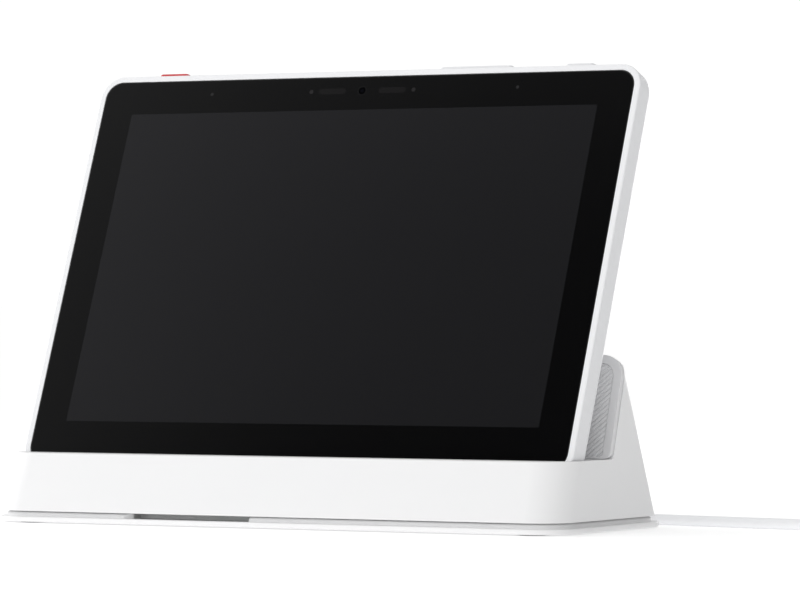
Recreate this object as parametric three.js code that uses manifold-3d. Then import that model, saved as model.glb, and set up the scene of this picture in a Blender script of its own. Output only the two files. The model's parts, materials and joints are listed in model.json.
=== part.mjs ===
// Smart home hub: an eight-inch display unit that leans back in a wedge-shaped charging dock.
// The display unit lifts out of the dock. Its three keys and the dock's four contact pins are sprung.
// Units are millimetres, +Z is up and the front faces -Y.
// The origin is on the desk, under the middle of the dock.

import * as THREE from 'three';
import { mergeVertices } from 'three/addons/utils/BufferGeometryUtils.js';
import Module from 'manifold-3d';

const wasm = await Module();
wasm.setup();

// ---------------------------------------------------------------- driving dimensions

const gap = 0.3; // clearance between pieces that meet
const lean = THREE.MathUtils.degToRad(21.52); // how far the display leans back from upright

// Display unit, seen from its front: width, height and depth behind the glass
const displayWidth = 199.8;
const displayHeight = 137.5;
const displayCorner = 7.8;
const rimWidth = 2.15;
const rimRound = 0.85;
const glassThickness = 1.1;
const frameDepth = 6.5;
const bodyDepth = 9.5;
const wall = 1.7; // shell thickness of the display's casings

// Bulge of the rear cover: its margins from the display's edges
const humpDepth = 19.2;
const humpMarginSide = 7.9;
const humpMarginTop = 19.75;
const humpCorner = 12;
const humpSlope = 6;
const humpWidth = displayWidth - 2 * humpMarginSide;
const humpHeight = displayHeight - 2 * humpMarginTop;

// Screen and what sits above it
const panelMarginSide = 11.6;
const panelMarginTop = 11.22;
const panelMarginBottom = 11.08;
const panelThickness = 3;
const sensorDrop = 7.15; // camera and microphone line below the display's top
const microphoneInset = 43.3; // from the display's sides
const windowOffset = 11.1; // sensor windows and light dots, from the camera
const windowWidth = 11;
const windowHeight = 2.4;
const dotOffset = 18.9;
const panelWidth = displayWidth - 2 * panelMarginSide;
const panelHeight = displayHeight - panelMarginTop - panelMarginBottom;

// Keys on the top edge: width of each cap, and its middle from the display's nearer side
const keyProud = 1.75;
const keyDepth = 3; // front to back
const keyFace = 2.3; // depth of a cap's front behind the glass
const sosWidth = 11.4;
const sosFromLeft = 25.3;
const volumeWidth = 26.5;
const volumeFromRight = 61.1;
const powerWidth = 10.5;
const powerFromRight = 24;

// Dock
const dockSide = 3.85; // how far the base plate stands out past each side of the display
const plateWidth = displayWidth + 2 * dockSide;
const plateDepth = 77.1;
const plateThickness = 1.7;
const plateCorner = 12.5;
const footProud = 0.4;
const footRadius = 5;
const footInset = 13.5;
const neckHeight = 1.73; // recessed band between the plate and the dock's body
const neckInset = 2;
const dockMargin = 1.18; // plate edge to dock side and back
const dockMarginFront = 0.65;
const dockCorner = 11.5;
const sideDraft = THREE.MathUtils.degToRad(2.2);
const backLean = THREE.MathUtils.degToRad(21.1);
const ledgeHeight = 22.25; // top of the dock's low front and side walls
const dockHeight = 55;
const dockTopCorner = 7.5;
const dockWall = 2.3;
const lip = 7.95; // dock's front face to the glass, square to both
const seatHeight = 17.35; // lower front edge of the display above the desk
const pocketClearance = 0.5;
const padThickness = 1.8;
const padCorner = 3.5;
const slotMiddle = -29.3;
const slotWidth = 46.2;
const slotDepth = 8;
const bossInset = 28; // screw bosses from the plate's sides, front and back
const bossFront = 17;
const bossBack = 14;
const weightThickness = 6;
const weightInset = 43.75; // counterweight from the plate's sides and back
const weightBack = 13.55;
const weightClearance = 12.05; // dock board to counterweight

// Contacts between dock and display
const contactPitch = 5;
const contactDepth = 4.2; // behind the glass
const pinRadius = 0.9;
const pinLength = 6;

// Supply cord
const cordDiameter = 3.5;
const exitHeight = 8.5;
const reliefEnd = 48; // y of the strain relief's outer end
const coilRadius = 21; // to the middle of its turns
const coilTurnsAcross = 5.68;
const coilLayers = 2;
const coilX = 178.5;
const coilY = 60.6;

// Where the cord runs, from the strain relief to the coil, and from the coil to the plug
const cordRoute = [
  [0, 48.3, 8.5],
  [0, 52, 8.2],
  [0.3, 56, 7.4],
  [1.6, 60.6, 6.2],
  [4.8, 65.4, 4.7],
  [9.8, 69.2, 3.2],
  [15.8, 71.2, 2.2],
  [22.5, 71, 1.8],
  [32, 67.9, 1.75],
  [44, 63.6, 1.75],
  [56, 59.4, 1.75],
  [68, 55.5, 1.75],
  [80, 52, 1.75],
  [94, 48.8, 1.75],
  [110, 45.5, 1.75],
  [128, 42, 1.75],
  [147, 38.4, 1.75],
  [156.1, 36.65, 1.75],
];
const tailRoute = [
  [199.5, 86.4, 3.7],
  [197.1, 89.8, 3.1],
  [190.7, 95.2, 2.2],
  [184.9, 97.6, 1.85],
  [182, 98.3, 1.78],
  [178.7, 98.4, 1.75],
];

// ---------------------------------------------------------------- materials

const white = { color: 0xf1f1f2, roughness: 0.5, metalness: 0 };
const whiteSoft = { color: 0xe6e7ea, roughness: 0.55, metalness: 0 };
const greySoft = { color: 0x8f9093, roughness: 0.8, metalness: 0 };
const black = { color: 0x0a0a0b, roughness: 0.12, metalness: 0 };
const blackPlastic = { color: 0x1a1a1c, roughness: 0.6, metalness: 0 };
const red = { color: 0xc83c41, roughness: 0.45, metalness: 0 };
const board = { color: 0x1f4d38, roughness: 0.5, metalness: 0.1 };
const steel = { color: 0xb9bcc0, roughness: 0.35, metalness: 1 };
const gold = { color: 0xd9b45c, roughness: 0.3, metalness: 1 };
const foil = { color: 0x3b3f45, roughness: 0.4, metalness: 0.3 };
const rubber = { color: 0x4a4b4e, roughness: 0.9, metalness: 0 };
const cordWhite = { color: 0xececef, roughness: 0.5, metalness: 0 };

// ---------------------------------------------------------------- shape helpers

// A closed outline from corners given as [x, y, radius], each corner rounded by an arc of `steps` steps.
function outline(corners, steps = 6) {
  const points = [];
  const last = corners.length;
  for (let i = 0; i < last; i += 1) {
    const [x, y, radius = 0] = corners[i];
    const corner = new THREE.Vector2(x, y);
    if (radius === 0) {
      points.push(corner);
      continue;
    }
    const before = new THREE.Vector2(...corners[(i + last - 1) % last]).sub(corner).normalize();
    const after = new THREE.Vector2(...corners[(i + 1) % last]).sub(corner).normalize();
    const half = Math.acos(THREE.MathUtils.clamp(before.dot(after), -1, 1)) / 2;
    const middle = before.clone().add(after).normalize().multiplyScalar(radius / Math.sin(half)).add(corner);
    const start = before.multiplyScalar(radius / Math.tan(half)).add(corner).sub(middle);
    const end = after.multiplyScalar(radius / Math.tan(half)).add(corner).sub(middle);
    const turn = Math.atan2(start.cross(end), start.dot(end));
    for (let k = 0; k <= steps; k += 1) {
      points.push(start.clone().rotateAround(new THREE.Vector2(), (turn * k) / steps).add(middle));
    }
  }
  return points;
}

function roundedRect(width, height, radius, steps = 6, x = 0, y = 0) {
  const [left, right] = [x - width / 2, x + width / 2];
  const [low, high] = [y - height / 2, y + height / 2];
  return outline(
    [
      [left, low, radius],
      [right, low, radius],
      [right, high, radius],
      [left, high, radius],
    ],
    steps,
  );
}

// A plate of the outline, from z = low to z = high.
function plate(points, low, high) {
  const shape = new THREE.Shape(points);
  return new THREE.ExtrudeGeometry(shape, { depth: high - low, bevelEnabled: false }).translate(0, 0, low);
}

function block(width, depth, height, x, y, z) {
  return new THREE.BoxGeometry(width, depth, height).translate(x, y, z);
}

function cylinder(radius, low, high, x, y, sides = 20) {
  const geometry = new THREE.CylinderGeometry(radius, radius, high - low, sides);
  return geometry.rotateX(Math.PI / 2).translate(x, y, (low + high) / 2);
}

// A closed body through outlines of equal point counts, given from bottom to top as { z, points }.
function loft(rings) {
  const count = rings[0].points.length;
  const positions = rings.flatMap(({ z, points }) => points.flatMap((p) => [p.x, p.y, z]));
  const index = [];
  for (let r = 0; r + 1 < rings.length; r += 1) {
    for (let i = 0; i < count; i += 1) {
      const a = r * count + i;
      const b = r * count + ((i + 1) % count);
      index.push(a, b, b + count, a, b + count, a + count);
    }
  }
  const top = (rings.length - 1) * count;
  for (const [a, b, c] of THREE.ShapeUtils.triangulateShape(rings[0].points, [])) {
    index.push(a, c, b, top + a, top + b, top + c);
  }
  const geometry = new THREE.BufferGeometry();
  geometry.setAttribute('position', new THREE.Float32BufferAttribute(positions, 3));
  geometry.setIndex(index);
  return geometry;
}

// A body turned about Z from a closed profile of [radius, height].
function turned(profile, sides = 24) {
  const points = profile.map(([r, z]) => new THREE.Vector2(r, z));
  return new THREE.LatheGeometry(points, sides).rotateX(Math.PI / 2);
}

function solid(geometry) {
  const bare = geometry.clone();
  bare.deleteAttribute('normal');
  bare.deleteAttribute('uv');
  const merged = mergeVertices(bare, 1e-5);
  const vertProperties = new Float32Array(merged.attributes.position.array);
  const triVerts = new Uint32Array(merged.index.array);
  return new wasm.Manifold(new wasm.Mesh({ numProp: 3, vertProperties, triVerts }));
}

function surface(manifold) {
  const mesh = manifold.getMesh();
  const geometry = new THREE.BufferGeometry();
  geometry.setAttribute('position', new THREE.BufferAttribute(new Float32Array(mesh.vertProperties), 3));
  geometry.setIndex(new THREE.BufferAttribute(new Uint32Array(mesh.triVerts), 1));
  return geometry;
}

const cut = (base, ...tools) => tools.reduce((s, tool) => s.subtract(solid(tool)), base);
const join = (base, ...others) => others.reduce((s, other) => s.add(solid(other)), base);

function addPart(group, name, geometry, finish) {
  const mesh = new THREE.Mesh(geometry, new THREE.MeshStandardMaterial(finish));
  mesh.name = name;
  group.add(mesh);
  return mesh;
}

// ---------------------------------------------------------------- the two frames

const hub = new THREE.Group();

// Heights of the dock's levels above the desk
const plateTop = footProud + plateThickness;
const dockBottom = plateTop + neckHeight;
const slabTop = dockBottom - gap;

// The dock's outer planes at a height z, moved inwards by `inset`
const dockHalfWidth = (z, inset = 0) =>
  plateWidth / 2 - dockMargin - (z - dockBottom) * Math.tan(sideDraft) - inset;
const dockFront = (z, inset = 0) =>
  -plateDepth / 2 + dockMarginFront + (z - dockBottom) * Math.tan(lean) + inset / Math.cos(lean);
const dockBack = (z, inset = 0) =>
  plateDepth / 2 - dockMargin - (z - dockBottom) * Math.tan(backLean) - inset / Math.cos(backLean);

// The display's own frame: x to the right, y up the glass, z out of the glass, from the middle of its front.
const displayBottom = -displayHeight / 2;
const seatY = dockFront(seatHeight, lip);
const displayY = seatY - displayBottom * Math.sin(lean);
const displayZ = seatHeight - displayBottom * Math.cos(lean);
const display = new THREE.Group();
display.position.set(0, displayY, displayZ);
display.rotation.x = Math.PI / 2 - lean;
hub.add(display);

// A point of the display's frame as [y, z] of the dock's frame, and a dock height as a display height
const toDock = (up, out) => [
  displayY + up * Math.sin(lean) - out * Math.cos(lean),
  displayZ + up * Math.cos(lean) + out * Math.sin(lean),
];
const upAtHeight = (z, out) => (z - displayZ - out * Math.sin(lean)) / Math.cos(lean);

display.updateMatrix();
const leaning = (geometry) => geometry.applyMatrix4(display.matrix);

// ---------------------------------------------------------------- display unit

const displayOutline = (inset, steps = 6) =>
  roundedRect(displayWidth - 2 * inset, displayHeight - 2 * inset, Math.max(displayCorner - inset, 1), steps);
const panelY = (panelMarginBottom - panelMarginTop) / 2;
const displayTop = displayHeight / 2;
const sensorY = displayTop - sensorDrop;
const sides = [-1, 1];
const sosMiddle = -displayWidth / 2 + sosFromLeft;
const volumeMiddle = displayWidth / 2 - volumeFromRight;
const powerMiddle = displayWidth / 2 - powerFromRight;

// Each key: middle and width of its cap, its posts over the switches and half the width of its flange
const flangeReach = 0.8;
const keys = [
  {
    name: 'sos_button',
    middle: sosMiddle,
    width: sosWidth,
    finish: red,
    posts: [0],
    grip: sosWidth / 2 + flangeReach,
  },
  {
    name: 'volume_key',
    middle: volumeMiddle,
    width: volumeWidth,
    finish: white,
    posts: [-8, 8],
    grip: 6,
  },
  {
    name: 'power_button',
    middle: powerMiddle,
    width: powerWidth,
    finish: white,
    posts: [0],
    grip: powerWidth / 2 + flangeReach,
  },
];
const keyMiddleDepth = -(keyFace + keyDepth / 2);
const frameWall = 1.8;
const webThickness = 0.6; // ledge that carries the glass
const webBack = glassThickness + gap + webThickness;
const microphoneX = displayWidth / 2 - microphoneInset;

// A block that stands along the display's height, drawn from its outline in x and depth.
function uprightRect(width, depth, radius, low, high, x, z) {
  const geometry = plate(roundedRect(width, depth, radius, 4), low, high);
  return geometry.rotateX(-Math.PI / 2).translate(x, 0, z);
}

function coverGlass() {
  const inset = (amount) =>
    roundedRect(
      displayWidth - 2 * (rimWidth + amount),
      displayHeight - 2 * (rimWidth + amount),
      displayCorner - rimWidth - amount,
    );
  return loft([
    { z: -glassThickness, points: inset(0) },
    { z: -0.25, points: inset(0) },
    { z: 0, points: inset(0.25) },
  ]);
}

function displayFrame() {
  const ring = loft([
    { z: -frameDepth, points: displayOutline(0) },
    { z: -0.5, points: displayOutline(0) },
    { z: -0.15, points: displayOutline(rimRound / 2) },
    { z: 0, points: displayOutline(rimRound) },
  ]);
  const glassSeat = roundedRect(
    displayWidth - 2 * rimWidth + 2 * gap,
    displayHeight - 2 * rimWidth + 2 * gap,
    displayCorner - rimWidth + gap,
  );
  const panelOpening = roundedRect(panelWidth + 2 * gap, panelHeight + 2 * gap, 2, 3, 0, panelY);
  const tools = [
    plate(glassSeat, -glassThickness - gap, 1),
    plate(displayOutline(frameWall), -frameDepth - 1, -webBack),
    plate(panelOpening, -frameDepth - 1, 1),
    cylinder(2.6, -webBack - 1, 0, 0, sensorY),
    uprightRect(
      carrierWidth + 2 * gap,
      carrierDepth + 2 * gap,
      0.6,
      displayBottom - 1,
      displayBottom + frameWall + 1,
      0,
      -contactDepth,
    ),
  ];
  for (const side of sides) {
    const window = roundedRect(windowWidth, windowHeight, windowHeight / 2, 4, side * windowOffset, sensorY);
    tools.push(plate(window, -webBack - 1, 0));
    tools.push(cylinder(0.6, -webBack - 1, 0, side * microphoneX, sensorY, 10));
    tools.push(cylinder(0.8, -webBack - 1, 0, side * dotOffset, sensorY, 10));
  }
  for (const { middle, width } of keys) {
    const slot = [width + 2 * gap, keyDepth + 2 * gap, keyDepth / 2];
    tools.push(uprightRect(...slot, displayTop - frameWall - 1, displayTop + 1, middle, keyMiddleDepth));
  }
  return surface(cut(solid(ring), ...tools));
}

function rearCover() {
  const humpOutline = (inset, steps = 6) =>
    roundedRect(humpWidth - 2 * inset, humpHeight - 2 * inset, humpCorner - inset * 0.5, steps);
  const shell = (inset) => {
    const low = -bodyDepth + inset;
    return [
      loft([
        { z: low, points: displayOutline(2.7 + inset) },
        { z: low + 0.8, points: displayOutline(1 + inset) },
        { z: low + 1.9, points: displayOutline(0.2 + inset) },
        { z: -frameDepth - gap, points: displayOutline(inset) },
      ]),
      loft([
        { z: -humpDepth + inset, points: humpOutline(humpSlope + 1.5 + inset) },
        { z: -humpDepth + inset + 1.2, points: humpOutline(humpSlope + inset) },
        { z: -bodyDepth + inset + 0.5, points: humpOutline(inset) },
      ]),
    ];
  };
  const [body, hump] = shell(0);
  const [bodyInside, humpInside] = shell(wall);
  const mouth = plate(displayOutline(wall), -frameDepth - gap - 0.5, -frameDepth + 1);
  const grilleSeat = plate(grilleOutline(gap), -humpDepth - 1, -humpDepth + grilleThickness + gap);
  const grilleOpening = plate(grilleOutline(-1.4), -humpDepth - 1, -humpDepth + wall + 1);
  return surface(cut(join(solid(body), hump), bodyInside, humpInside, mouth, grilleSeat, grilleOpening));
}

const grilleY = humpHeight / 2 - 21;
const grilleWidth = 92;
const grilleHeight = 13;
const grilleThickness = 0.9;
const grilleSlots = 15;
const grillePitch = 5.4;

function grilleOutline(grow) {
  const height = grilleHeight + 2 * grow;
  return roundedRect(grilleWidth + 2 * grow, height, height / 2, 8, 0, grilleY);
}

function speakerGrille() {
  const slots = [];
  for (let i = 0; i < grilleSlots; i += 1) {
    const x = (i - (grilleSlots - 1) / 2) * grillePitch;
    slots.push(plate(roundedRect(1.6, grilleHeight - 5, 0.8, 1, x, grilleY), -humpDepth - 1, -humpDepth + 2));
  }
  return surface(cut(solid(plate(grilleOutline(0), -humpDepth, -humpDepth + grilleThickness)), ...slots));
}

// What the display unit holds, from front to back
const chassisThickness = 0.8;
const chassisFront = -glassThickness - gap - panelThickness - gap;
const chassisBack = chassisFront - chassisThickness;
const boardFront = chassisBack - 2.7;
const boardThickness = 1;
const boardWidth = humpWidth / 2 - 14;
const boardHeight = humpHeight - 48;
const boardX = boardWidth / 2 + 4;
const boardY = boardHeight / 2 + 13 - humpHeight / 2;
const batteryWidth = humpWidth / 2 - 16;
const batteryHeight = humpHeight - 44;
const batteryThickness = 6;
const batteryY = batteryHeight / 2 + 9 - humpHeight / 2;
const screwInset = 4;
const boardScrews = sides.flatMap((a) =>
  sides.map((b) => [boardX + a * (boardWidth / 2 - screwInset), boardY + b * (boardHeight / 2 - screwInset)]),
);

function chassisPlate() {
  const sheet = plate(roundedRect(panelWidth, panelHeight - 1, 3, 4, 0, panelY), chassisBack, chassisFront);
  const bosses = boardScrews.map(([x, y]) => cylinder(2.4, boardFront + gap, chassisBack + 0.4, x, y, 14));
  const holes = boardScrews.map(([x, y]) => cylinder(1.1, boardFront - 1, chassisBack + 0.3, x, y, 10));
  return surface(cut(join(solid(sheet), ...bosses), ...holes));
}

function mainBoard() {
  const level = boardFront - boardThickness;
  const sheet = plate(roundedRect(boardWidth, boardHeight, 2, 3, boardX, boardY), level, boardFront);
  const chips = [
    block(16, 16, 1.4, boardX - 8, boardY + 0.12 * boardHeight, level - 0.6),
    block(12, 10, 1.2, boardX + 14, boardY + 0.16 * boardHeight, level - 0.5),
    block(10, 12, 1.2, boardX + 16, boardY - 0.2 * boardHeight, level - 0.5),
    block(20, 5, 2.6, boardX - 14, boardY - 0.34 * boardHeight, level - 1.2),
  ];
  const holes = boardScrews.map(([x, y]) => cylinder(1.3, boardFront - 3, boardFront + 1, x, y, 12));
  return surface(cut(join(solid(sheet), ...chips), ...holes));
}

// A pan-head screw with its head underneath, at the given level
function screw(headRadius, headHeight, shankRadius, length, underHead, x, y) {
  const profile = [
    [0, underHead - headHeight],
    [headRadius * 0.8, underHead - headHeight],
    [headRadius, underHead - headHeight * 0.6],
    [headRadius, underHead],
    [shankRadius, underHead],
    [shankRadius, underHead + length - shankRadius * 0.6],
    [shankRadius * 0.5, underHead + length],
    [0, underHead + length],
  ];
  return turned(profile, 8).translate(x, y, 0);
}

const flangeThickness = 0.8;
const studLength = 0.7;
const keyTravel = 0.5; // stud to switch
const keyEdge = 0.35; // chamfer round a cap's top
const capBottom = displayTop - frameWall - gap - flangeThickness;
const keySwitchTop = capBottom - studLength - keyTravel;

function keyCap({ width, posts, grip }) {
  const capOutline = (inset) =>
    roundedRect(width - 2 * inset, keyDepth - 2 * inset, keyDepth / 2 - inset, 5);
  const cap = loft([
    { z: capBottom, points: capOutline(0) },
    { z: displayTop + keyProud - keyEdge, points: capOutline(0) },
    { z: displayTop + keyProud, points: capOutline(keyEdge) },
  ]);
  const flange = plate(roundedRect(2 * grip, keyDepth, 0.6, 3), capBottom, capBottom + flangeThickness);
  const studs = posts.map((x) => cylinder(0.9, capBottom - studLength, capBottom + 0.4, x, 0, 12));
  return surface(join(solid(cap), flange, ...studs));
}

function keyBoard({ width, posts }) {
  const strip = plate(roundedRect(width - 1, keyDepth, 0.5, 2), keySwitchTop - 2.1, keySwitchTop - 1.3);
  const switches = posts.map((x) =>
    plate(roundedRect(3.6, keyDepth, 0.4, 2, x, 0), keySwitchTop - 1.5, keySwitchTop - 0.3),
  );
  const domes = posts.map((x) => cylinder(1, keySwitchTop - 0.5, keySwitchTop, x, 0, 12));
  return surface(join(solid(strip), ...switches, ...domes));
}

// Turns a piece built standing on Z so that it stands on the display's height, at x and depth z.
const stand = (geometry, x, z) => geometry.rotateX(-Math.PI / 2).translate(x, 0, z);

function cameraModule() {
  const housing = block(8, 7, 3.2, 0, sensorY, -webBack - gap - 1.6);
  const barrel = cylinder(2.2, -webBack - gap - 1, -glassThickness - gap, 0, sensorY);
  return surface(join(solid(housing), barrel));
}

// The sensor boards hang below the sensor line, clear of the key boards above them
function sensorBoard(side) {
  const sheet = block(15.4, 4, 0.8, side * 13.2, sensorY - 1.3, -webBack - gap - 0.4);
  const emitterZ = -webBack - gap + 0.35;
  const emitter = block(windowWidth - 1.4, windowHeight - 1, 0.9, side * windowOffset, sensorY, emitterZ);
  return surface(join(solid(sheet), emitter));
}

function speakerBox(side) {
  const middle = side * 24;
  const back = -humpDepth + wall;
  const box = plate(roundedRect(42, 22, 3, 4, middle, grilleY - 1), back + 1.7, back + 7.7);
  const mouth = plate(roundedRect(34, 8, 2, 4, middle, grilleY), back + gap + 0.2, back + 2.1);
  return surface(join(solid(box), mouth));
}

const contactXs = [-1.5, -0.5, 0.5, 1.5].map((k) => k * contactPitch);
const carrierBottom = displayBottom + 0.1;
const carrierWidth = 28.4;
const carrierDepth = 2.8;
const padSize = [3, 1.8];
const padRecess = 0.05;

function contactCarrier() {
  const top = displayBottom + frameWall;
  const body = uprightRect(carrierWidth, carrierDepth, 0.5, carrierBottom, top, 0, -contactDepth);
  const flange = uprightRect(32, 3.4, 0.5, top + gap, displayBottom + 4, 0, -contactDepth);
  const bridge = uprightRect(27, 2.2, 0.4, carrierBottom + 0.9, displayBottom + 3, 0, -contactDepth);
  const [pocketWidth, pocketDepth] = padSize.map((size) => size + 2 * gap);
  const pockets = contactXs.map((x) =>
    uprightRect(pocketWidth, pocketDepth, 0.3, carrierBottom - 1, carrierBottom + 0.9, x, -contactDepth),
  );
  return surface(cut(join(solid(body), bridge, flange), ...pockets));
}

for (const key of keys) {
  addPart(display, key.name, stand(keyCap(key), key.middle, keyMiddleDepth), key.finish);
  const boardName = `${key.name}_board`;
  addPart(display, boardName, stand(keyBoard(key), key.middle, keyMiddleDepth), board);
}
addPart(display, 'cover_glass', coverGlass(), black);
addPart(display, 'display_frame', displayFrame(), white);
addPart(display, 'rear_cover', rearCover(), white);
addPart(display, 'speaker_grille', speakerGrille(), whiteSoft);

const panelShape = roundedRect(panelWidth, panelHeight, 1.5, 2, 0, panelY);
const panelFront = -glassThickness - gap;
addPart(display, 'lcd_panel', plate(panelShape, panelFront - panelThickness, panelFront), foil);
addPart(display, 'chassis_plate', chassisPlate(), steel);
addPart(display, 'main_board', mainBoard(), board);
boardScrews.forEach(([x, y], i) => {
  const geometry = screw(1.9, 0.9, 0.8, 3.6, boardFront - boardThickness - gap, x, y);
  addPart(display, `board_screw_${i + 1}`, geometry, steel);
});
const batteryShape = roundedRect(batteryWidth, batteryHeight, 4, 4, -batteryWidth / 2 - 3, batteryY);
addPart(display, 'battery', plate(batteryShape, boardFront - batteryThickness, boardFront), foil);
addPart(display, 'camera_module', cameraModule(), blackPlastic);
for (const side of sides) {
  const hand = side < 0 ? 'left' : 'right';
  addPart(display, `speaker_${hand}`, speakerBox(side), blackPlastic);
  addPart(display, `sensor_board_${hand}`, sensorBoard(side), board);
  const microphone = block(4, 3.2, 1.1, side * microphoneX, sensorY, -webBack - gap - 0.55);
  addPart(display, `microphone_${hand}`, microphone, steel);
}
addPart(display, 'contact_carrier', contactCarrier(), blackPlastic);
contactXs.forEach((x, i) => {
  const pad = uprightRect(...padSize, 0.3, carrierBottom + padRecess, carrierBottom + 0.6, x, -contactDepth);
  addPart(display, `charge_pad_${i + 1}`, pad, gold);
});

// ---------------------------------------------------------------- dock

function dockLoft(inset, low, high) {
  const ring = (z) => {
    const half = dockHalfWidth(z, inset);
    const front = dockFront(z, inset);
    const back = dockBack(z, inset);
    const radius = Math.max(dockCorner - inset, 1);
    return { z, points: roundedRect(2 * half, back - front, radius, 8, 0, (front + back) / 2) };
  };
  return loft([ring(low), ring(high)]);
}

// A profile of [y, z] corners, drawn from one side of the dock to the other
function acrossDock(corners, steps = 6) {
  const geometry = plate(outline(corners, steps), -plateWidth, plateWidth);
  return geometry.rotateX(Math.PI / 2).rotateZ(Math.PI / 2);
}

const padFace = -(humpDepth + 0.4);
const padBack = padFace - padThickness;
const pocketFloor = displayBottom - pocketClearance;
const pocketBack = -(bodyDepth + 0.6);
const far = 2 * plateDepth;

// The dock's outline in the plane of the rest pad, with its two top corners rounded
function slopeOutline(bottomHeight, inset, bottomCorner) {
  const low = upAtHeight(bottomHeight, padFace);
  const high = upAtHeight(dockHeight, padFace) - inset;
  const lowHalf = dockHalfWidth(bottomHeight) - inset;
  const highHalf = dockHalfWidth(dockHeight) - inset;
  return outline(
    [
      [-lowHalf, low, bottomCorner],
      [lowHalf, low, bottomCorner],
      [highHalf, high, dockTopCorner],
      [-highHalf, high, dockTopCorner],
    ],
    8,
  );
}

// Screw bosses as [x, y, top]: the front pair ends under the pocket, the rear pair runs into the back wall
const bossPlaces = sides.flatMap((a) => [
  [a * (plateWidth / 2 - bossInset), -plateDepth / 2 + bossFront, ledgeHeight - 3],
  [a * (plateWidth / 2 - bossInset), plateDepth / 2 - bossBack, ledgeHeight + 4],
]);
const bossRadius = 3.6;
const shankRadius = 1.25;
const screwReach = 7;
const screwSeat = footProud + 1.6;
const holeRadius = shankRadius + gap;
const reliefRadius = 3.5;

function dockShell() {
  const outside = solid(dockLoft(0, dockBottom, dockHeight));
  const profile = acrossDock([
    [-far, dockBottom - 1],
    [far, dockBottom - 1],
    [far, dockHeight + 1],
    [...toDock(upAtHeight(dockHeight + 1, padBack - gap), padBack - gap)],
    [...toDock(upAtHeight(ledgeHeight, padBack - gap), padBack - gap)],
    [-far, ledgeHeight],
  ]);
  const corners = leaning(plate(slopeOutline(-far, -0.2, 0), -far, far));
  const innerBack = padBack - gap - dockWall;
  const underPocket = pocketFloor - 2;
  const ledgeUnder = ledgeHeight - 2;
  const hollow = acrossDock([
    [-far, dockBottom - 1],
    toDock(underPocket, far),
    toDock(underPocket, pocketBack - 2),
    toDock(upAtHeight(ledgeUnder, pocketBack - 2), pocketBack - 2),
    toDock(upAtHeight(ledgeUnder, innerBack), innerBack),
    toDock(upAtHeight(dockHeight - 4, innerBack), innerBack),
    [far, dockHeight - 4],
    [far, dockBottom - 1],
  ]);
  const inside = solid(dockLoft(dockWall, dockBottom - 1, dockHeight - 2)).intersect(solid(hollow));
  const bosses = bossPlaces.map(([x, y, top]) => cylinder(bossRadius, dockBottom, top, x, y, 16));
  const shell = outside.intersect(solid(profile)).intersect(solid(corners));
  const bossed = join(shell.subtract(inside), ...bosses).intersect(outside);
  const pocket = leaning(plate(displayOutline(-pocketClearance), pocketBack, pocketClearance));
  const pinWindow = leaning(
    uprightRect(
      pinBlockWidth + 2 * gap,
      pinBlockDepth + 2 * gap,
      0.6,
      pocketFloor - 3,
      pocketFloor + 1,
      0,
      -contactDepth,
    ),
  );
  const pilotTop = slabTop + screwReach + 1.2;
  const pilots = bossPlaces.map(([x, y]) => cylinder(holeRadius, dockBottom - 1, pilotTop, x, y, 14));
  const reliefBore = cylinder(reliefRadius + gap, -far, 0, 0, 0).rotateX(Math.PI / 2);
  return surface(cut(bossed, pocket, pinWindow, ...pilots, reliefBore.translate(0, 15, exitHeight)));
}

function restPad() {
  const bottom = ledgeHeight + gap + padThickness * Math.sin(lean);
  return leaning(plate(slopeOutline(bottom, 0.2, padCorner), padBack, padFace));
}

function basePlate() {
  const ring = (z, inset) => ({
    z,
    points: roundedRect(plateWidth - 2 * inset, plateDepth - 2 * inset, plateCorner - inset, 8),
  });
  const plateBody = loft([
    ring(footProud, 0.6),
    ring(footProud + 0.35, 0.1),
    ring(footProud + 0.7, 0),
    ring(plateTop - 0.5, 0),
    ring(plateTop - 0.15, 0.12),
    ring(plateTop, 0.5),
  ]);
  const neck = plate(
    roundedRect(plateWidth - 2 * neckInset, plateDepth - 2 * neckInset, plateCorner - neckInset, 8),
    plateTop - 0.5,
    slabTop,
  );
  const neckFront = -plateDepth / 2 + neckInset;
  const slot = block(slotWidth, 2 * slotDepth, neckHeight, slotMiddle, neckFront, plateTop + neckHeight / 2);
  const holes = bossPlaces.flatMap(([x, y]) => [
    cylinder(holeRadius, 0, slabTop + 1, x, y, 14),
    cylinder(screwHead + 0.1 + gap, 0, screwSeat, x, y, 16),
  ]);
  const footSeats = footPlaces.map(([x, y]) => cylinder(footRadius + gap, 0, footProud + 0.6, x, y, 24));
  const posts = boardPosts.map(([x, y]) => cylinder(1.6, slabTop - 0.5, dockBoardLow - gap, x, y, 12));
  return surface(cut(join(solid(plateBody), neck, ...posts), slot, ...holes, ...footSeats));
}

const footPlaces = sides.flatMap((a) =>
  sides.map((b) => [a * (plateWidth / 2 - footInset), b * (plateDepth / 2 - 9)]),
);
const screwHead = 2.5;
const dockBoardWidth = 58;
const dockBoardDepth = 26;
const dockBoardLow = slabTop + 0.9;
const dockBoardY = -plateDepth / 2 + 18.5;
const boardPosts = sides.flatMap((a) =>
  sides.map((b) => [a * (dockBoardWidth / 2 - 5), dockBoardY + b * (dockBoardDepth / 2 - 5)]),
);

function foot(x, y) {
  const top = footProud + 0.6 - gap;
  const profile = [
    [0, 0],
    [footRadius - 0.5, 0],
    [footRadius, 0.3],
    [footRadius, top],
    [0, top],
  ];
  return turned(profile, 16).translate(x, y, 0);
}

const pinBlockWidth = 25.4;
const pinBlockDepth = 5;
const pinBlockTop = pocketFloor - 0.1;
const pinBlockHeight = 7;
const pinTop = carrierBottom + padRecess - gap;

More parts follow.
